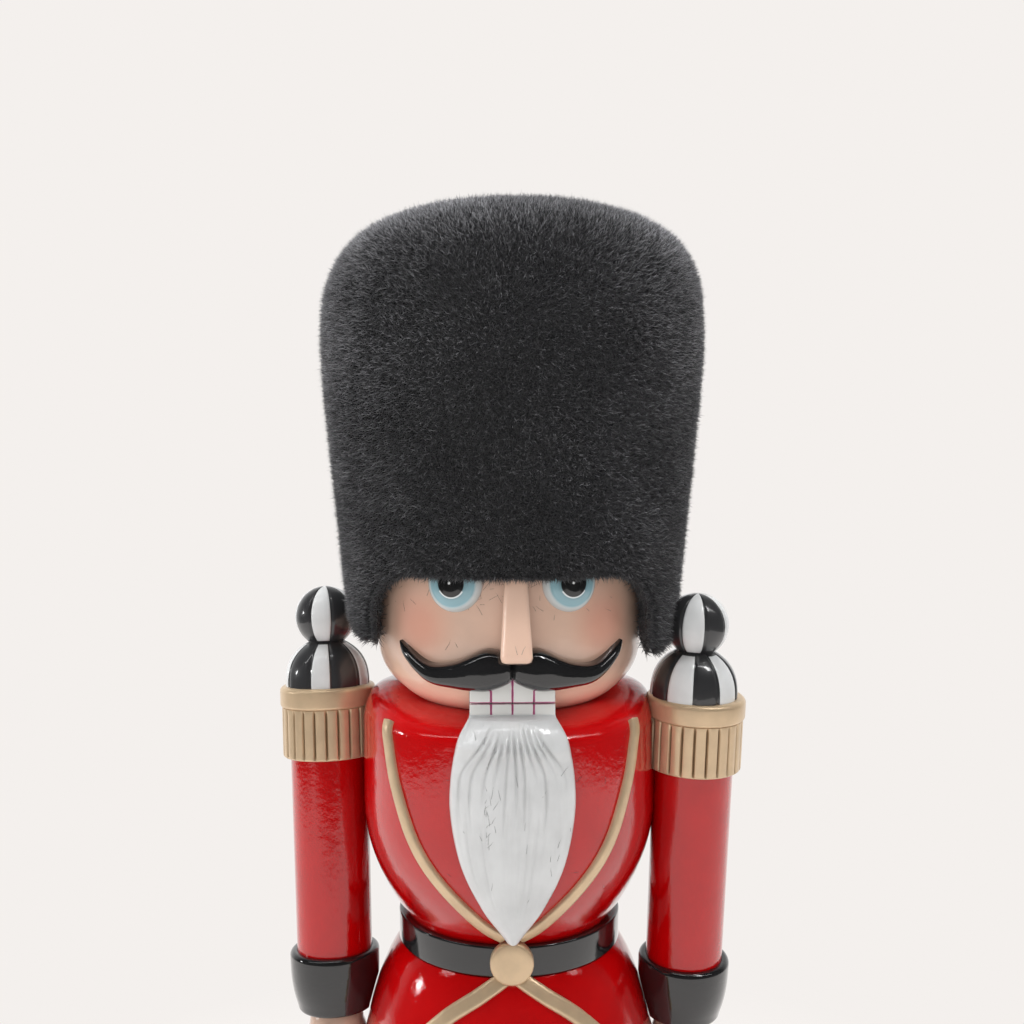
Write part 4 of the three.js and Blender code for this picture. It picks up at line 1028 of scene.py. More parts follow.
class NUTCRACKER_OT_beard(PieceMaker, bpy.types.Operator):
    """Carve the beard, with locks that run from the lip to the tip"""

    bl_idname = "nutcracker.beard"
    bl_label = "Beard"

    def execute(self, context):
        depth = self.sizes.strand_depth
        edge = self.sizes.shoulder_round
        low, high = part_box("beard")
        rest = CHEST_RADIUS + 1 * MM
        bulge = -low.y - rest
        # From the tip to the lip: the share of the height, and there of the width
        outline = [(0, 0.1), (0.04, 0.2), (0.12, 0.42), (0.19, 0.57), (0.27, 0.72), (0.36, 0.845)]
        outline += [(0.48, 0.945), (0.61, 1), (0.73, 0.985), (0.83, 0.935), (0.92, 0.86), (1, 0.7)]
        across = np.linspace(-1, 1, 161)
        across_back = np.linspace(1, -1, 31)
        seams, grooves, crowns, lumps = self.locks()
        rings = []
        hollows = []
        for place in np.linspace(0, 1, 120):
            share, wide = spline(outline, [place])[0]
            z = low.z + share * (high.z - low.z)
            half = wide * high.x
            shoulder = max(0, z - (TORSO_TOP - edge)) / edge
            tip = max(0, 1 - share / 0.35)
            back = rest - 0.68 * edge * shoulder**2 - 2.2 * MM * tip**2
            thick = bulge * (0.3 + 0.7 * math.sqrt(math.sin(math.pi * (0.12 + 0.85 * share))))
            gathered = 1 - 0.42 * eased((share - 0.74) / 0.24)
            carved = np.zeros_like(across)
            for u, start, end, strength, breadth in grooves:
                middle = u * gathered + 0.02 * math.sin(9 * share + 40 * u)
                window = min(max((share - start) / 0.2, 0), 1) * min(max((end - share) / 0.05, 0), 1)
                wider = breadth * (1 + 2 * max(0, share - 0.78))
                carved = np.maximum(carved, strength * window * np.exp(-(((across - middle) / wider) ** 2)))
            lock = np.searchsorted(seams * gathered, across)
            knuckle = np.exp(-(((share - crowns[lock] + 0.02) / 0.03) ** 2)) * (1 - carved)
            fine = 0.5 + 0.5 * np.sin(across * 60 + 3 * np.sin(across * 7) + 2.2 * share)
            relief = depth * (carved + 0.05 * fine - lumps[lock] * knuckle)
            rounded = np.sqrt(1.02 - np.abs(across) ** 30)
            front = back + rounded * (thick * (1 - 0.6 * across**2) - relief * min(1, 3 * wide))
            ring = around(front, np.arcsin(np.clip(across * half / front, -1, 1)), z)
            rings.append(np.concatenate([ring, around(back, np.arcsin(across_back * half / back), z)]))
            hollows.append(np.concatenate([carved, 0 * across_back]))
        # The beard runs on up into the lower teeth
        low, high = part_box("lower_teeth")
        behind = np.concatenate([np.full_like(across, -0.05 * MM), np.full_like(across_back, 2 * MM)])
        width = np.concatenate([across, across_back]) * (high.x + 0.02 * MM)
        teeth = columns(width, low.y + behind, low.z + 0.7 * MM)
        last = rings[-1]
        for share in np.linspace(0, 1, 9)[1:]:
            ease = np.array([share**0.6, 1 - (1 - share) ** 2, share])
            rings.append(last + (teeth - last) * ease)
            hollows.append(hollows[-1] * (1 - share))
        piece = loft("carved_beard", rings)
        note(piece, "groove", 0.1 + 0.45 * np.concatenate(hollows))
        dress(piece, WHITE, "beard", body="jaw", sharp=70)
        return {"FINISHED"}

    def locks(self):
        """The seams between locks, all the grooves, and the levels and sizes of the lumps on the locks."""
        rng = np.random.default_rng(SEED)
        seams = np.array([-0.83, -0.66, -0.47, -0.31, -0.14, 0.03, 0.17, 0.36, 0.5, 0.69, 0.84])
        # Each groove has its place across, the heights of its two ends, its depth and its breadth
        grooves = []
        for u in seams:
            grooves.append((u, rng.uniform(0.45, 0.72), rng.uniform(0.95, 1), rng.uniform(0.6, 1), 0.024))
        for u in np.linspace(-0.86, 0.86, 12) + rng.uniform(-0.05, 0.05, 12):
            grooves.append((u, rng.uniform(0.05, 0.3), rng.uniform(0.5, 0.8), rng.uniform(0.1, 0.3), 0.028))
        crowns = rng.uniform(0.885, 0.925, len(seams) + 1)
        return seams, grooves, crowns, rng.uniform(1.4, 2.6, len(crowns))


class NUTCRACKER_OT_arms(PieceMaker, bpy.types.Operator):
    """Turn the sleeves, cuffs and shoulder caps"""

    bl_idname = "nutcracker.arms"
    bl_label = "Sleeves, cuffs and caps"

    def execute(self, context):
        for side, place in PLACES.items():
            self.shoulder_cap(side, place)
            radii, heights = along_arm(side, "sleeve")
            wide, low, high = radii.max(), heights.min(), heights.max()
            narrow = radii[heights < low + 1 * MM].max()
            profile = [(0, low), (narrow, low), (narrow, low + 12 * MM)]
            profile += [(wide, high - 14 * MM), (wide, high), (0, high)]
            sleeve = turned(side + "_red_sleeve", profile, 96)
            sleeve.data.transform(place)
            dress(sleeve, RED, side + "_sleeve")
            self.cuff(side, place, narrow + 0.1 * MM)
        return {"FINISHED"}

    def shoulder_cap(self, side, place):
        """A plain rim over a ring of flutes."""
        flutes = self.sizes.flutes
        rim = -self.sizes.cap_rim
        radii, heights = along_arm(side, "shoulder_cap")
        wide, low = radii.max(), heights.min()
        slats = wide - 0.6 * MM
        seat = along_arm(side, "finial")[0].max() - 1 * MM
        socket = along_arm(side, "sleeve")[0].max() + 0.2 * MM
        profile = [(0, -0.8 * MM), (seat, -0.8 * MM), (seat, 0)]
        profile += corner((wide - 1.6 * MM, -1.6 * MM), 1.6 * MM, 90, 0, 8)
        profile += corner((wide - 1.1 * MM, rim + 1.1 * MM), 1.1 * MM, 0, -80, 7)
        profile += [(slats, z) for z in np.linspace(rim - 0.1 * MM, low + 0.9 * MM, 16)]
        profile += corner((slats - 0.7 * MM, low + 0.7 * MM), 0.7 * MM, 0, -90, 5)
        profile += [(socket, low), (socket, low + 8 * MM), (0, low + 8 * MM)]
        cap = turned(side + "_fluted_cap", profile, 16 * flutes)
        local = vertices_of(cap)
        x, y, z = local.T
        radius = np.hypot(x, y)
        beside = np.abs((np.arctan2(x, -y) * flutes / FULL_TURN + 0.5) % 1 - 0.5)
        ends = share_of(rim - 0.05 * MM - z, 0.5 * MM) * share_of(z - low - 0.2 * MM, 1.2 * MM)
        ends = ends * (radius > slats - 0.5 * MM)
        groove = ends * np.exp(-((beside / 0.07) ** 2))
        crown = 0.08 * MM * ends * np.cos(FULL_TURN * beside)
        factor = (radius - self.sizes.flute_depth * groove - crown) / np.maximum(radius, TINY)
        local[:, :2] *= factor[:, None]
        reshape(cap, local)
        note(cap, "groove", 0.8 * groove)
        cap.data.transform(place)
        dress(cap, GOLD, side + "_shoulder_cap")

    def cuff(self, side, place, hole):
        """A cuff with a rounded ledge that narrows to the wrist, cut to lie against the skirt."""
        radii, heights = along_arm(side, "cuff")
        wide, low, top = radii.max(), heights.min(), heights.max()
        wrist = 0.83 * wide
        inside, outside = (wrist - 1.5 * MM, low), (wrist + 0.5 * MM, low + 2 * MM)
        profile = [(0, low), inside]
        profile += bezier(inside, (wrist, low), (wrist + 0.2 * MM, low), outside, 6)
        swell = (wide - 0.4 * MM, low + 7 * MM)
        profile += bezier(outside, swell, (wide, top - 8 * MM), (wide, top - 3 * MM), 10)
        profile += corner((wide - 1.6 * MM, top - 1.6 * MM), 1.6 * MM, 0, 90, 8)
        profile += [(hole, top), (hole, top - 11.5 * MM), (0, top - 11.5 * MM)]
        cuff = turned(side + "_black_cuff", profile, 96)
        cuff.data.transform(place)
        cut(cuff, turned("cutter", skirt_profile(SKIRT_GAP), 96))
        dress(cuff, BLACK, side + "_cuff", sharp=45)


class NUTCRACKER_OT_finials(PieceMaker, bpy.types.Operator):
    """Turn the finials, with black and white gores parted by grooves"""

    bl_idname = "nutcracker.finials"
    bl_label = "Finials"

    def execute(self, context):
        # For the ball and the dome: degrees from the front to a white gore, and white's share of the paint
        white_at = {"left": ((-16.5, 0.5), (-29.5, 0.54)), "right": ((-2, 0.46), (-2, 0.43))}
        for side, place in PLACES.items():
            radii, heights = along_arm(side, "finial")
            low, top = heights.min(), heights.max()
            wide = radii[heights < low + 1 * MM].max()
            ball = ball_radius(radii, heights)
            centre = top - ball
            waist = (heights > 0.3 * top) & (heights < centre)
            neck = radii[waist].min()
            neck_height = heights[waist][radii[waist].argmin()]
            profile = [(0, low), (wide, low)]
            profile += bezier(
                (wide, low + 0.2 * MM),
                (wide + 0.4 * MM, 0.55 * neck_height),
                (neck + 0.6 * (wide - neck), 0.82 * neck_height),
                (neck, neck_height),
                26,
            )
            turns = np.linspace(-math.acos(neck / ball), math.pi / 2, 34)
            profile += [(ball * math.cos(a), centre + ball * math.sin(a)) for a in turns[:-1]]
            finial = turned(side + "_gored_finial", profile + [(0, top)], 240)
            white = self.carve(finial, side, neck_height, white_at[side])
            finial.data.transform(nudged(side, place, FINIAL_NUDGE))
            dress(finial, GORE, side + "_finial", sharp=60)
            finial.data.materials.append(bpy.data.materials[WHITE])
            finial.data.polygons.foreach_set("material_index", white.astype(np.int32))
        return {"FINISHED"}

    def carve(self, finial, side, neck_height, white_at):
        """Press a groove at each seam, and tell which faces are painted white."""
        ahead = ARMS[side].to_3x3().inverted() @ Vector((0, -1, 0))
        front = math.atan2(ahead.y, ahead.x)
        middles, shares = zip(*white_at)

        def painted(points):
            """Whether points lie in a white gore, and how many degrees they are from a seam."""
            dome = (points[:, 2] < neck_height).astype(int)
            pairs = np.choose(dome, [self.sizes.ball_gores / 2, self.sizes.dome_gores / 2])
            share = np.choose(dome, shares)
            angle = np.arctan2(points[:, 1], points[:, 0]) - front - np.radians(np.choose(dome, middles))
            place = (angle * pairs / FULL_TURN + share / 2) % 1
            seam = np.minimum(np.abs(place - share), np.minimum(place, 1 - place)) * 360 / pairs
            return place < share, seam

        local = vertices_of(finial)
        seam = painted(local)[1]
        radius = np.hypot(local[:, 0], local[:, 1])
        press = np.minimum(self.sizes.gore_groove * np.exp(-((seam / 2.6) ** 2)), 0.2 * radius)
        local[:, :2] *= (1 - press / np.maximum(radius, TINY))[:, None]
        reshape(finial, local)
        flat = np.empty(3 * len(finial.data.polygons))
        finial.data.polygons.foreach_get("center", flat)
        centres = flat.reshape(-1, 3)
        white, seam = painted(centres)
        return white & (seam > 2.4) & (np.abs(centres[:, 2] - neck_height) > 0.5 * MM)


class NUTCRACKER_OT_hands(PieceMaker, bpy.types.Operator):
    """Model the fists, with curled fingers and a thumb"""

    bl_idname = "nutcracker.hands"
    bl_label = "Hands"

    def execute(self, context):
        for side, place in PLACES.items():
            _, heights = along_arm(side, "hand")
            low, top = heights.min(), heights.max()
            front = 1 if side == "left" else -1
            wide = 11.6 * MM
            finger = (9.4 * MM, 3.1 * MM, 5.4 * MM)
            thumb = (3.4 * MM, 3 * MM, 7 * MM)
            # The middle, the half sizes and the tilt of the palm, the wrist, the fingers and the thumb
            lumps = [((0, 0, low + 12 * MM), (wide - 1.5 * MM, wide, 11 * MM), 0)]
            lumps.append(((0, 0, top - 4 * MM), (0.78 * wide, 0.78 * wide, 6 * MM), 0))
            for k in range(4):
                y = (k - 1.5) * 5.2 * MM
                lumps.append(((0, y, low + (5.4 + 0.8 * abs(k - 1.3)) * MM), finger, 0))
            lumps.append(((-2 * MM, -front * 10 * MM, low + 12.5 * MM), thumb, 0.35))
            shape = bmesh.new()
            for middle, half, tilt in lumps:
                spot = Matrix.Translation(middle) @ Matrix.Rotation(tilt, 4, "Y")
                matrix = spot @ Matrix.Diagonal((*half, 1))
                bmesh.ops.create_uvsphere(shape, u_segments=32, v_segments=20, radius=1, matrix=matrix)
            fist = piece_of(side + "_fist", shape)
            fist.data.transform(place)
            melt = fist.modifiers.new("melt", "REMESH")
            melt.mode = "VOXEL"
            melt.voxel_size = 0.55 * MM
            soften = fist.modifiers.new("soften", "SMOOTH")
            soften.factor = 0.5
            soften.iterations = 4
            settle(fist)
            ledge = block(30 * MM, -30 * MM, 30 * MM, -20 * MM, 10 * MM)
            ledge.data.transform(place @ Matrix.Translation((0, 0, top + 20 * MM)))
            cut(fist, turned("cutter", skirt_profile(SKIRT_GAP), 96), ledge)
            dress(fist, SKIN, side + "_hand", sharp=60)
        return {"FINISHED"}


class NUTCRACKER_OT_stand(PieceMaker, bpy.types.Operator):
    """Shape the legs, boots and base"""

    bl_idname = "nutcracker.stand"
    bl_label = "Legs, boots and base"

    def execute(self, context):
        for side in ("left", "right"):
            low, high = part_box(side + "_leg")
            leg = turned(side + "_trouser", rod((high.x - low.x) / 2, low.z, high.z), 96)
            leg.data.transform(Matrix.Translation(((low.x + high.x) / 2, 0, 0)))
            dress(leg, WHITE, side + "_leg")
            self.boot(side)
        self.base()
        return {"FINISHED"}

    def boot(self, side):
        """Ovals from the sole, with the toe ahead, to the round shaft and its band."""
        low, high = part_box(side + "_boot")
        middle = (low.x + high.x) / 2
        band = (high.x - low.x) / 2
        shaft = band - 1 * MM
        top = high.z - low.z
        instep = 32 * MM
        # The welt, in millimetres over the sole and in from the side
        welt = [(0, 1.6), (0.4, 0.6), (1.2, 0), (3.2, 0), (3.6, 0.5), (4.2, 0.5), (4.8, 0)]
        # The band, in millimetres under the top, and its half width
        upper = [(4.6, shaft), (4, band - 0.3 * MM), (3.6, band), (0.6, band), (0, band - 0.6 * MM)]
        rows = [(z * MM, inset * MM, shaft) for z, inset in welt]
        rows += [(z, 0, shaft) for z in np.linspace(6 * MM, top - 6 * MM, 44)]
        rows += [(top - z * MM, 0, half) for z, half in upper]
        angles = np.arange(96) * FULL_TURN / 96
        rings = []
        for height, inset, half in rows:
            ease = math.sqrt(max(0, 1 - min(height / instep, 1) ** 2))
            toe = half + (-low.y - half) * ease - inset
            y = np.where(np.sin(angles) < 0, toe, half - inset) * np.sin(angles)
            rings.append(columns(middle + (half - inset) * np.cos(angles), y, low.z + height))
        dress(loft(side + "_black_boot", rings), BLACK, side + "_boot", sharp=50)

    def base(self):
        """A rounded oblong with rounded upper and lower edges."""
        low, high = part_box("base")
        edge = 2.4 * MM
        turns = np.linspace(0, math.pi / 2, 7)
        rows = [(edge * (1 - math.sin(a)), edge * (1 - math.cos(a))) for a in turns]
        levels = [(low.z + rise, inset) for inset, rise in rows]
        levels += [(high.z - rise, inset) for inset, rise in reversed(rows)]
        rings = []
        for z, inset in levels:
            radius = 24 * MM - inset
            x, y = high.x - inset - radius, high.y - inset - radius
            outline = []
            for k, centre in enumerate([(x, y), (-x, y), (-x, -y), (x, -y)]):
                outline += corner(centre, radius, 90 * k, 90 * k + 90, 14)
            rings.append([(u, v, z) for u, v in outline])
        dress(loft("black_base", rings), BLACK, "base", sharp=30)


# Fibres
def strands(name, roots, ways, lengths, width, bends, shades, rng):
    """Tapered three-sided fibres, each of seven points and ten triangles."""
    count = len(roots)
    helper = np.where(np.abs(ways[:, 2:]) < 0.9, [[0.0, 0.0, 1.0]], [[1.0, 0.0, 0.0]])
    side = unit(np.cross(ways, helper))
    other = np.cross(ways, side)
    turn = rng.uniform(0, FULL_TURN, (count, 1)) + np.arange(3) * FULL_TURN / 3
    ring = np.cos(turn)[:, :, None] * side[:, None] + np.sin(turn)[:, :, None] * other[:, None]
    reach = ways * lengths[:, None]
    base = roots[:, None] + width * ring
    middle = (roots + 0.55 * reach + 0.3 * bends)[:, None] + 0.8 * width * ring
    tip = (roots + reach + bends)[:, None]
    points = np.concatenate([base, middle, tip], axis=1).reshape(-1, 3)
    lower = [(0, 1, 4), (0, 4, 3), (1, 2, 5), (1, 5, 4), (2, 0, 3), (2, 3, 5)]
    upper = [(3, 4, 6), (4, 5, 6), (5, 3, 6)]
    pattern = np.array([*lower, *upper, (2, 1, 0)])
    corners = (pattern[None] + 7 * np.arange(count)[:, None, None]).reshape(-1)
    data = bpy.data.meshes.new(name)
    data.vertices.add(len(points))
    data.vertices.foreach_set("co", points.ravel())
    data.loops.add(len(corners))
    data.loops.foreach_set("vertex_index", corners.astype(np.int32))
    data.polygons.add(len(corners) // 3)
    data.polygons.foreach_set("loop_start", np.arange(0, len(corners), 3, dtype=np.int32))
    data.update(calc_edges=True)
    data.validate()
    piece = new_piece(name, data)
    # Each fibre is painted darker towards its root: painted shade deep in the pile
    painted_root_shade = np.array([0.4, 0.4, 0.4, 0.85, 0.85, 0.85, 1.0])
    note(piece, "shade", (shades[:, None] * painted_root_shade).ravel())
    return piece


def in_opening(points, grow):
    """Which points lie in the hat's opening for the face."""
    half = ARCH_HALF + grow
    brow = ARCH_BROW + grow
    side = np.abs(points[:, 0] - ARCH_CENTRE)
    over = np.maximum(side - (half - ARCH_ROUND), 0) ** 2
    over = over + np.maximum(points[:, 2] - (brow - ARCH_ROUND), 0) ** 2
    return (points[:, 1] < ARCH_BACK) & (side < half) & (points[:, 2] < brow) & (over < ARCH_ROUND**2)


def in_finial(points):
    """Which points lie in a finial's ball or dome."""
    inside = np.zeros(len(points), bool)
    for side, place in PLACES.items():
        radii, heights = along_arm(side, "finial")
        back = np.array(place.inverted())
        x, y, z = (points @ back[:3, :3].T + back[:3, 3]).T
        radius = np.hypot(x, y)
        top = heights.max()
        ball = ball_radius(radii, heights)
        inside |= np.hypot(radius, z - (top - ball)) < ball + 0.2 * MM
        neck = top - 1.6 * ball
        dome = radii.max() * np.sqrt(np.clip(1 - np.clip(z, 0, None) / neck, 0, 1))
        inside |= (z > -2 * MM) & (z < neck) & (radius < dome)
    return inside


def settled(points):
    """The crown leans to the soldier's left, the opening hugs the face, and the rim rises to the back."""
    x, y, z = points.T
    lean = 1.2 * MM * eased((z - HAT_TOP + 40 * MM) / (34 * MM))
    beside = np.maximum(np.abs(x - ARCH_CENTRE) - ARCH_HALF, 0)
    above = np.maximum(z - ARCH_BROW, 0)
    near = np.clip(1 - np.hypot(beside, above) / (12 * MM), 0, 1) * (y < 0)
    pull = 1 - 3 * MM * near**2 / np.maximum(np.hypot(x - HAT_CENTRE, y), TINY)
    low = np.clip((BROW - z) / (BROW - HAT_RIM), 0, 1)
    rise = 0.27 * np.clip(y + 25 * MM, 0, 28 * MM) - 0.7 * MM - 1.9 * MM * x / HAT_RIM_RADIUS
    return columns(HAT_CENTRE + (x - HAT_CENTRE) * pull + lean, y * pull, z + low * rise)


class NUTCRACKER_OT_hat(PieceMaker, bpy.types.Operator):
    """Make the hat's knitted backing and work the pile into it"""

    bl_idname = "nutcracker.hat"
    bl_label = "Plush hat"

    def execute(self, context):
        pile = self.sizes.pile_length
        self.rng = np.random.default_rng(SEED)
        self.fold = 0.5 * pile
        profile = hat_profile(1.02 * pile)
        self.backing(profile)
        roots, ways, shades = self.body(profile)
        parts = math.ceil(len(roots) / FIBRES_PER_PIECE)
        sector = ((np.arctan2(roots[:, 0], -roots[:, 1]) / FULL_TURN + 0.5) * parts).astype(int) % parts
        for k in range(parts):
            chosen = sector == k
            self.work(f"hat_pile_{k + 1}", roots[chosen], ways[chosen], shades[chosen])
        self.work("hat_pile_edge", *self.edge(profile))
        return {"FINISHED"}

    def backing(self, profile):
        """The cloth shell, with its opening for the face."""
        outer = [p for p in profile if p[1] > HAT_RIM + self.fold]
        inner = [(max(0, r - 2 * MM), z - 1.2 * MM * (z > HAT_TOP - 20 * MM)) for r, z in reversed(outer)]
        shell = turned("hat_backing", [(0, HAT_TOP - 8 * MM)] + inner[1:] + outer, 144)
        shell.data.transform(Matrix.Translation(HAT_SHIFT))
        half = ARCH_HALF + self.fold
        level = ARCH_BROW + self.fold - ARCH_ROUND
        under = HAT_RIM - 10 * MM
        arch = [(-half, under), (half, under)]
        arch += corner((half - ARCH_ROUND, level), ARCH_ROUND, 0, 90, 10)
        arch += corner((ARCH_ROUND - half, level), ARCH_ROUND, 90, 180, 10)
        depths = (-2 * HAT_CROWN_RADIUS, ARCH_BACK)
        cut(shell, loft("cutter", [[(ARCH_CENTRE + x, y, z) for x, z in arch] for y in depths]))
        bend(shell, settled)
        dress(shell, BACKING, "fur_hat", sharp=50)

    def clear(self, roots, ways):
        """Which fibres stay clear of the finials."""
        reach = self.sizes.pile_length * ways
        return ~in_finial(roots + reach) & ~in_finial(roots + 0.5 * reach)

    def body(self, profile):
        """Roots, directions and shades of the fibres all over the cloth."""
        rng = self.rng
        count = self.sizes.pile_count
        span = np.linalg.norm(np.diff(profile, axis=0), axis=1)
        middle = (profile[1:] + profile[:-1]) / 2
        weight = np.cumsum(span * np.maximum(middle[:, 0], 0))
        piece = np.searchsorted(weight, rng.uniform(0, weight[-1], count))
        step = rng.uniform(0, 1, (count, 1))
        at = profile[piece] * (1 - step) + profile[piece + 1] * step
        angle = rng.uniform(-math.pi, math.pi, count)
        along = (profile[piece + 1] - profile[piece]) / span[piece][:, None]
        roots = settled(around(at[:, 0], angle, at[:, 1]) + HAT_SHIFT)
        normal = around(along[:, 1], angle, -along[:, 0])
        down = -around(along[:, 0], angle, along[:, 1])
        across = columns(np.cos(angle), np.sin(angle), 0)
        sweep = 0.2 * self.brushed(roots, 1) + rng.normal(0, 0.34, count)
        nap = 0.1 + 0.2 * self.brushed(roots, 2) + rng.normal(0, 0.34, count)
        ways = unit(normal + sweep[:, None] * across + nap[:, None] * down)
        keep = ~in_opening(roots, self.fold) & self.clear(roots, ways) & (at[:, 1] > HAT_RIM + self.fold)
        # Pale fibres grow more common towards the crown and the sides: painted light, over a share of pale
        # fibres at random
        high = share_of(roots[:, 2] - BROW - 20 * MM, 70 * MM)
        pale = rng.uniform(0, 1, count) < 0.14 + 0.64 * (1 - normal[:, 1] ** 2) * high**2
        shades = np.where(pale, rng.uniform(0.6, 1, count), rng.uniform(0, 0.5, count))
        shades = np.clip(shades + 0.08 * self.brushed(roots, 3), 0, 1)
        return roots[keep], ways[keep], shades[keep]

    def brushed(self, points, which):
        """A smooth field over the hat, between about -1 and 1, for the way that the pile was stroked."""
        rng = np.random.default_rng(SEED + which)
        field = np.zeros(len(points))
        for wave in (60, 110, 190, 330):
            way = rng.normal(0, 1, 3)
            field += np.sin(points @ (wave * way) + rng.uniform(0, 6)) * 0.5
        return field

    def edge(self, profile):
        """Roots, directions and shades of the fibres on the fold of the opening and of the rim."""
        rng = self.rng
        profile = profile[np.argsort(profile[:, 1])]
        arch, arch_ways = self.arch(profile)
        rim = HAT_RIM + self.fold
        count = RIM_FIBRES
        angle = rng.uniform(-math.pi, math.pi, count)
        radius = np.interp(rim, profile[:, 1], profile[:, 0]) - rng.uniform(0, 2 * MM, count)
        circle = settled(around(radius, angle, rim + rng.uniform(0, 1.5 * MM, count)) + HAT_SHIFT)
        rim_ways = rng.uniform(0.4, 1, (count, 1)) * around(1, angle, 0)
        rim_ways[:, 2] -= rng.uniform(0.1, 0.7, count)
        roots = np.concatenate([arch, circle])
        ways = unit(np.concatenate([arch_ways, rim_ways]) + rng.normal(0, 0.2, (len(roots), 3)))
        keep = self.clear(roots, ways)
        keep[len(arch):] &= ~in_opening(circle, self.fold)
        return roots[keep], ways[keep], np.clip(rng.beta(1.2, 4, keep.sum()), 0, 1)

    def arch(self, profile):
        """Roots and directions of fibres along the opening: up a side, round, across, round and down."""
        rng = self.rng
        count = ARCH_FIBRES
        rim = HAT_RIM + self.fold
        half = ARCH_HALF + self.fold
        brow = ARCH_BROW + self.fold
        upright, top = brow - ARCH_ROUND, half - ARCH_ROUND
        bend_length = ARCH_ROUND * math.pi / 2
        runs = [upright - rim, bend_length, 2 * top, bend_length, upright - rim]
        ends = np.cumsum(runs)
        place = rng.uniform(0, ends[-1], count)
        run = np.searchsorted(ends, place)
        into = place - (ends - runs)[run]
        sine, cosine = np.sin(into / ARCH_ROUND), np.cos(into / ARCH_ROUND)
        x = np.choose(run, [half, top + ARCH_ROUND * cosine, top - into, -top - ARCH_ROUND * sine, -half])
        x = x + ARCH_CENTRE - HAT_CENTRE
        rounds = [upright + ARCH_ROUND * part for part in (sine, cosine)]
        z = np.choose(run, [rim + into, rounds[0], brow, rounds[1], upright - into])
        inward_x = np.choose(run, [-1, -cosine, 0, sine, 1])
        inward_z = np.choose(run, [0, -sine, -1, -cosine, 0])
        radius = np.interp(z, profile[:, 1], profile[:, 0])
        radius -= rng.uniform(0, 1, count) * (radius - HEAD_RADIUS - 0.6 * MM)
        y = -np.sqrt(np.maximum(radius**2 - x**2, 0))
        ways = rng.uniform(0.3, 1.0, (count, 1)) * unit(columns(x, y, 0))
        ways += rng.uniform(-0.1, 0.5, (count, 1)) * columns(inward_x, 0, inward_z)
        return settled(columns(x, y, z) + HAT_SHIFT), ways

    def work(self, name, roots, ways, shades):
        """Make the fibres of one part of the hat."""
        pile = self.sizes.pile_length
        tufts = 0.08 * np.sin(roots @ [2100, 900, 1700]) * np.sin(roots @ [-800, 1900, 2300])
        lengths = pile * (self.rng.uniform(0.72, 1.1, len(roots)) + tufts)
        bends = self.rng.normal(0, 0.13, (len(roots), 3)) * pile
        piece = strands(name, roots, ways, lengths, self.sizes.pile_width, bends, shades, self.rng)
        dress(piece, PILE, sharp=180)


class NUTCRACKER_OT_loose_fibres(PieceMaker, bpy.types.Operator):
    """Scatter a few shed fibres of the hat on the face, the beard and the coat"""

    bl_idname = "nutcracker.loose_fibres"
    bl_label = "Loose fibres"

    def execute(self, context):
        rng = np.random.default_rng(SEED + 20)
        self.rng = rng
        low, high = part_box("beard")
        on_face, in_chain, on_beard, on_coat = 90, 26, 22, 24
        x = rng.uniform(-0.86, 0.86, on_face) * HEAD_RADIUS
        z = BROW - np.abs(rng.normal(0, 7, on_face)) * MM
        self.lay("face_fibres", "figure", "face", x, z, rng.uniform(0, math.pi, on_face))
        x = np.array([1.2, 2.4]) * MM
        z = np.full(2, TEETH_HIGH.z + 9 * MM)
        self.lay("nose_fibres", "figure", "nose_ridge", x, z, (1.9, 1.3))
        x = np.concatenate([rng.normal(-7.6, 0.9, in_chain), rng.uniform(-17, 17, on_beard)]) * MM
        up = np.concatenate([rng.uniform(0.42, 0.95, in_chain), rng.uniform(0.2, 0.95, on_beard)])
        z = low.z + up * (high.z - low.z)
        self.lay("beard_fibres", "jaw", "carved_beard", x, z, rng.normal(1.5, 0.4, len(x)))
        x = rng.uniform(-40, 40, on_coat) * MM
        z = rng.uniform(BELT_TOP, TORSO_TOP, on_coat)
        self.lay("coat_fibres", "figure", "coat_body", x, z, rng.uniform(0, math.pi, on_coat))
        return {"FINISHED"}

    def lay(self, name, body, surface, x, z, lie):
        """Lay short fibres on the front of a piece, between the two spots where their ends touch it."""
        rng = self.rng
        data = bpy.data.objects[surface].data
        front = BVHTree.FromPolygons([v.co for v in data.vertices], [p.vertices[:] for p in data.polygons])
        lengths = rng.uniform(1.2, 4, len(x)) * MM
        missed = Vector((0, 9, 0))
        ends = []
        for shift in (0, 1):
            starts = zip(x + shift * lengths * np.cos(lie), z + shift * lengths * np.sin(lie))
            hits = [front.ray_cast(Vector((u, -1, v)), Vector((0, 1, 0)))[0] for u, v in starts]
            ends.append([hit or missed for hit in hits])
        roots, tips = (np.array(spots) - [0, 0.04 * MM, 0] for spots in ends)
        reach = np.linalg.norm(tips - roots, axis=1)
        near = (reach > 0.5 * MM) & (reach < 1.4 * lengths)
        roots, reach = roots[near], reach[near]
        ways = (tips[near] - roots) / reach[:, None]
        bends = np.cross(ways, [0, 1.0, 0]) * (rng.normal(0, 0.12, len(reach)) * reach)[:, None]
        piece = strands(name, roots, ways, reach, 0.055 * MM, bends, np.full(len(reach), 0.1), rng)
        dress(piece, PILE, body=body, sharp=180)


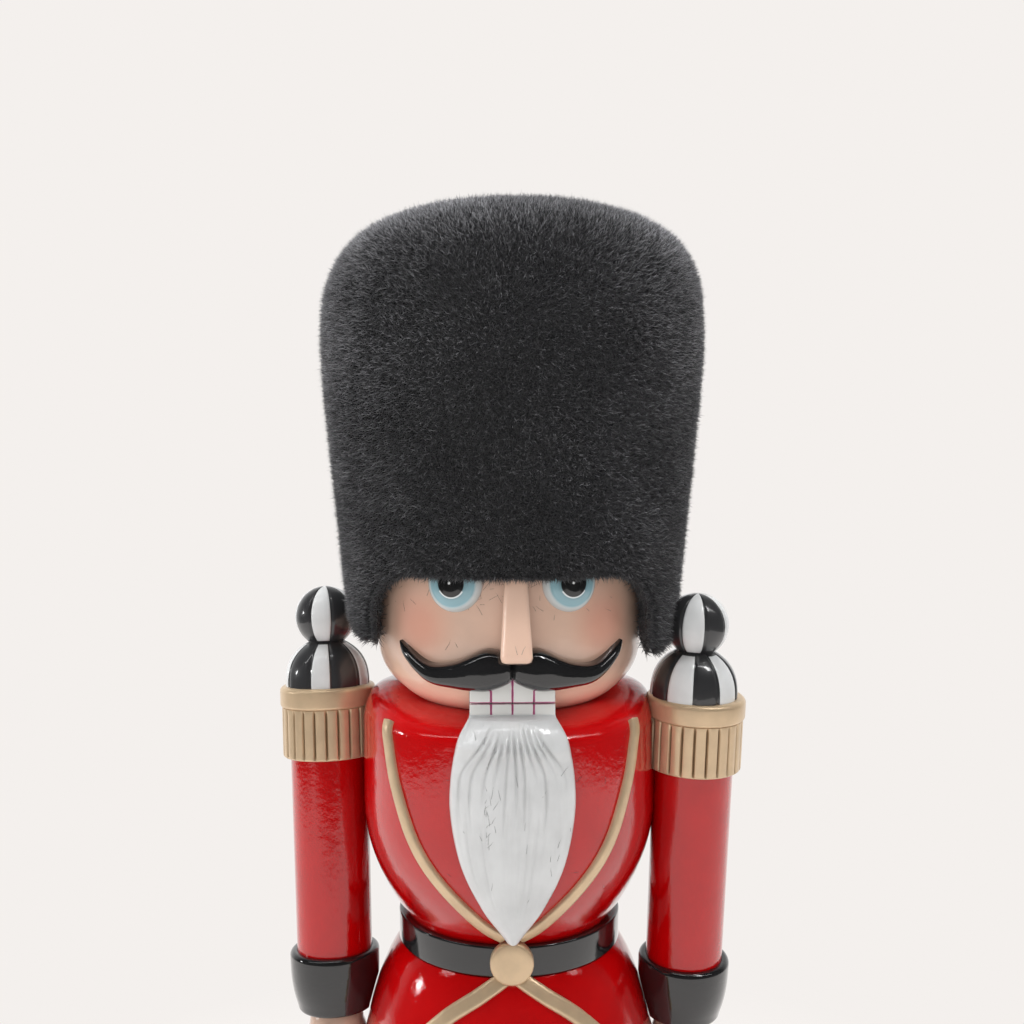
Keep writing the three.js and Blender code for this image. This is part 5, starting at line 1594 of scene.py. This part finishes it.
class NUTCRACKER_OT_inner_pieces(PieceMaker, bpy.types.Operator):
    """Finish the solids that are kept as they are: the jaw lever, pins, dowels, wadding and felt"""

    bl_idname = "nutcracker.inner_pieces"
    bl_label = "Lever and inner pieces"

    def execute(self, context):
        kept = {
            RED: ["jaw_lever"],
            STEEL: ["jaw_pin", "left_leg_rod", "right_leg_rod"],
            WOOD: ["waist_dowel", "neck_dowel", "left_arm_dowel", "right_arm_dowel"],
            WADDING: ["hat_core"],
            FELT: ["base_pad"],
        }
        for finish, names in kept.items():
            for name in names:
                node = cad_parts[name]
                node.data.materials.clear()
                node.data.materials.append(bpy.data.materials[finish])
                ease = node.modifiers.new("ease", "BEVEL")
                ease.width = (0.9 if finish == RED else 0.3) * MM
                ease.segments = 3
                ease.limit_method = "ANGLE"
                ease.angle_limit = math.radians(40)
                ease.harden_normals = False
        return {"FINISHED"}


# Each lamp's name, its place, target and size in millimetres, its radiance, and whether reflections show it
LAMPS = (
    ("overhead", (0, 250, 1350), (0, 0, 250), (1400, 1200), 1.5, False),
    ("crown", (-60, 120, 800), (0, 0, 390), (600, 400), 4.0, False),
    ("canopy", (0, -800, 1150), (0, 0, 240), (1300, 800), 0.5, False),
    ("ahead", (-300, -1020, 500), (0, 0, 245), (1500, 420), 1.4, False),
    ("strip", (0, -330, 1300), (0, 0, 240), (3000, 50), 8, True),
    ("key", (640, -420, 1350), (0, 0, 260), (150, 330), 16, True),
    ("side", (-1100, 0, 420), (0, 0, 240), (60, 110), 30, True),
    ("front", (-150, -1000, 60), (0, 0, 245), (1500, 500), 1.4, False),
    ("left_wall", (1000, 300, 420), (0, 0, 300), (900, 900), 1.5, False),
    ("right_wall", (-1000, 300, 420), (0, 0, 300), (900, 900), 2.1, False),
)


class NUTCRACKER_OT_stage(PieceMaker, bpy.types.Operator):
    """Set the floor, the room, the lamps and the camera"""

    bl_idname = "nutcracker.stage"
    bl_label = "Stage"

    def execute(self, context):
        scene = context.scene
        scene.view_settings.view_transform = "Standard"
        self.floor(self.colours.backdrop)
        scene.world = self.room(self.colours.backdrop)
        for lamp in LAMPS:
            self.lamp(*lamp)
        scene.camera = self.camera()
        return {"FINISHED"}

    def floor(self, backdrop):
        """A wide pale floor under the felt, which far off glows like the backdrop."""
        half, front, back = 0.9, -0.95, 1.6
        edge = ((-half, front), (half, front), (half, back), (-half, back))
        floor = loft("floor", [[(x, y, z) for x, y in edge] for z in (-0.01, 0)])
        # Matt paper from a roll: pale and even, with no gloss
        tree, shader, place = new_finish("matt_paper", Roughness=0.9)
        cloud = add(tree, "TexNoise", {"Vector": place, "Scale": every(400)}).outputs["Fac"]
        stops = [(0.3, shade(backdrop, 0.66)), (0.7, shade(backdrop, 0.63))]
        feed(tree, shader, {"Base Color": add(tree, "ValToRGB", {"Fac": cloud}, stops).outputs["Color"]})
        away = add(tree, "VectorMath", {0: place}, operation="LENGTH").outputs["Value"]
        fade = add(tree, "MapRange", {"Value": away, "From Min": 0.12, "From Max": 0.32}).outputs["Result"]
        rays = add(tree, "LightPath").outputs
        either = {0: rays["Is Camera Ray"], 1: rays["Is Glossy Ray"]}
        seen = add(tree, "Math", either, operation="MAXIMUM").outputs[0]
        glow = add(tree, "Math", {0: seen, 1: fade}, operation="MULTIPLY").outputs[0]
        paper = add(tree, "Emission", {"Color": backdrop, "Strength": 1.0}).outputs[0]
        mixed = add(tree, "MixShader", {0: glow, 1: shader.outputs[0], 2: paper}).outputs[0]
        feed(tree, tree.nodes["Material Output"], {"Surface": mixed})
        floor.data.materials.append(bpy.data.materials["matt_paper"])

    def room(self, backdrop):
        """A pale backdrop for the camera, and for reflections a dark room in front of a pale wall."""
        world = bpy.data.worlds.new("room")
        world.use_nodes = True
        tree = world.node_tree
        way = add(tree, "TexCoord").outputs["Generated"]
        axes = add(tree, "SeparateXYZ", {0: way}).outputs
        ranges = (
            {"Value": axes["Y"], "From Min": 0.2, "From Max": 0.7, "To Min": 0.07, "To Max": 0.9},
            {"Value": axes["Z"], "From Min": 0.2, "From Max": 0.7, "To Min": 1.0, "To Max": 0.35},
            {"Value": axes["Y"], "From Min": -0.2, "From Max": 0.5, "To Min": 0.26, "To Max": 1.1},
        )
        wall, ceiling, level = (add(tree, "MapRange", values).outputs["Result"] for values in ranges)
        mirrored = add(tree, "Math", {0: wall, 1: ceiling}, operation="MULTIPLY").outputs[0]
        rays = add(tree, "LightPath").outputs
        for ray, seen in (("Is Glossy Ray", mirrored), ("Is Camera Ray", 1.0)):
            level = add(tree, "Mix", {"Factor": rays[ray], "A": level, "B": seen}).outputs["Result"]
        tints = {"Factor": rays["Is Camera Ray"], "A": linear("#F2F2F2"), "B": backdrop}
        tint = add(tree, "Mix", tints, data_type="RGBA").outputs[2]
        feed(tree, tree.nodes["Background"], {"Color": tint, "Strength": level})
        return world

    def lamp(self, name, place, target, size, radiance, reflected):
        """A rectangular soft lamp."""
        data = bpy.data.lights.new(name, "AREA")
        data.shape = "RECTANGLE"
        data.size, data.size_y = (side * MM for side in size)
        data.energy = radiance * math.pi * data.size * data.size_y
        lamp = new_piece(name, data)
        lamp.location = Vector(place) * MM
        lamp.rotation_euler = (Vector(target) - Vector(place)).to_track_quat("-Z", "Y").to_euler()
        lamp.visible_camera = False
        lamp.visible_glossy = reflected

    def camera(self):
        """The photograph's view: from near the middle of the hat's height, looking slightly down."""
        data = bpy.data.cameras.new("camera")
        data.sensor_width = 36
        data.lens = 40.4
        data.clip_start = 0.01
        camera = new_piece("camera", data)
        camera.location = Vector((-8.9, -380, 315.9)) * MM
        camera.rotation_euler = (math.radians(90 - 2.69), 0, math.radians(-1.49))
        return camera


MAKERS = (
    NUTCRACKER_OT_finishes,
    NUTCRACKER_OT_coat,
    NUTCRACKER_OT_belt,
    NUTCRACKER_OT_cords,
    NUTCRACKER_OT_head,
    NUTCRACKER_OT_eyes,
    NUTCRACKER_OT_moustache,
    NUTCRACKER_OT_teeth,
    NUTCRACKER_OT_beard,
    NUTCRACKER_OT_arms,
    NUTCRACKER_OT_finials,
    NUTCRACKER_OT_hands,
    NUTCRACKER_OT_stand,
    NUTCRACKER_OT_hat,
    NUTCRACKER_OT_loose_fibres,
    NUTCRACKER_OT_inner_pieces,
    NUTCRACKER_OT_stage,
)


class NUTCRACKER_PT_panel(bpy.types.Panel):
    """The makers, in the order in which the soldier is dressed"""

    bl_idname = "NUTCRACKER_PT_panel"
    bl_label = "Nutcracker Soldier"
    bl_space_type = "VIEW_3D"
    bl_region_type = "UI"
    bl_category = "Nutcracker"

    def draw(self, context):
        for maker in MAKERS:
            self.layout.operator(maker.bl_idname)
        for group in (context.scene.nutcracker_sizes, context.scene.nutcracker_colours):
            for name in group.__annotations__:
                self.layout.prop(group, name)


CLASSES = (NutcrackerSizes, NutcrackerColours, *MAKERS, NUTCRACKER_PT_panel)


def register():
    for item in CLASSES:
        bpy.utils.register_class(item)
    bpy.types.Scene.nutcracker_sizes = bpy.props.PointerProperty(type=NutcrackerSizes)
    bpy.types.Scene.nutcracker_colours = bpy.props.PointerProperty(type=NutcrackerColours)


def unregister():
    del bpy.types.Scene.nutcracker_colours
    del bpy.types.Scene.nutcracker_sizes
    for item in reversed(CLASSES):
        bpy.utils.unregister_class(item)


def main():
    """Dress the soldier, running every maker in turn."""
    register()
    for maker in MAKERS:
        group, name = maker.bl_idname.split(".")
        getattr(getattr(bpy.ops, group), name)()


if __name__ == "__main__":
    main()
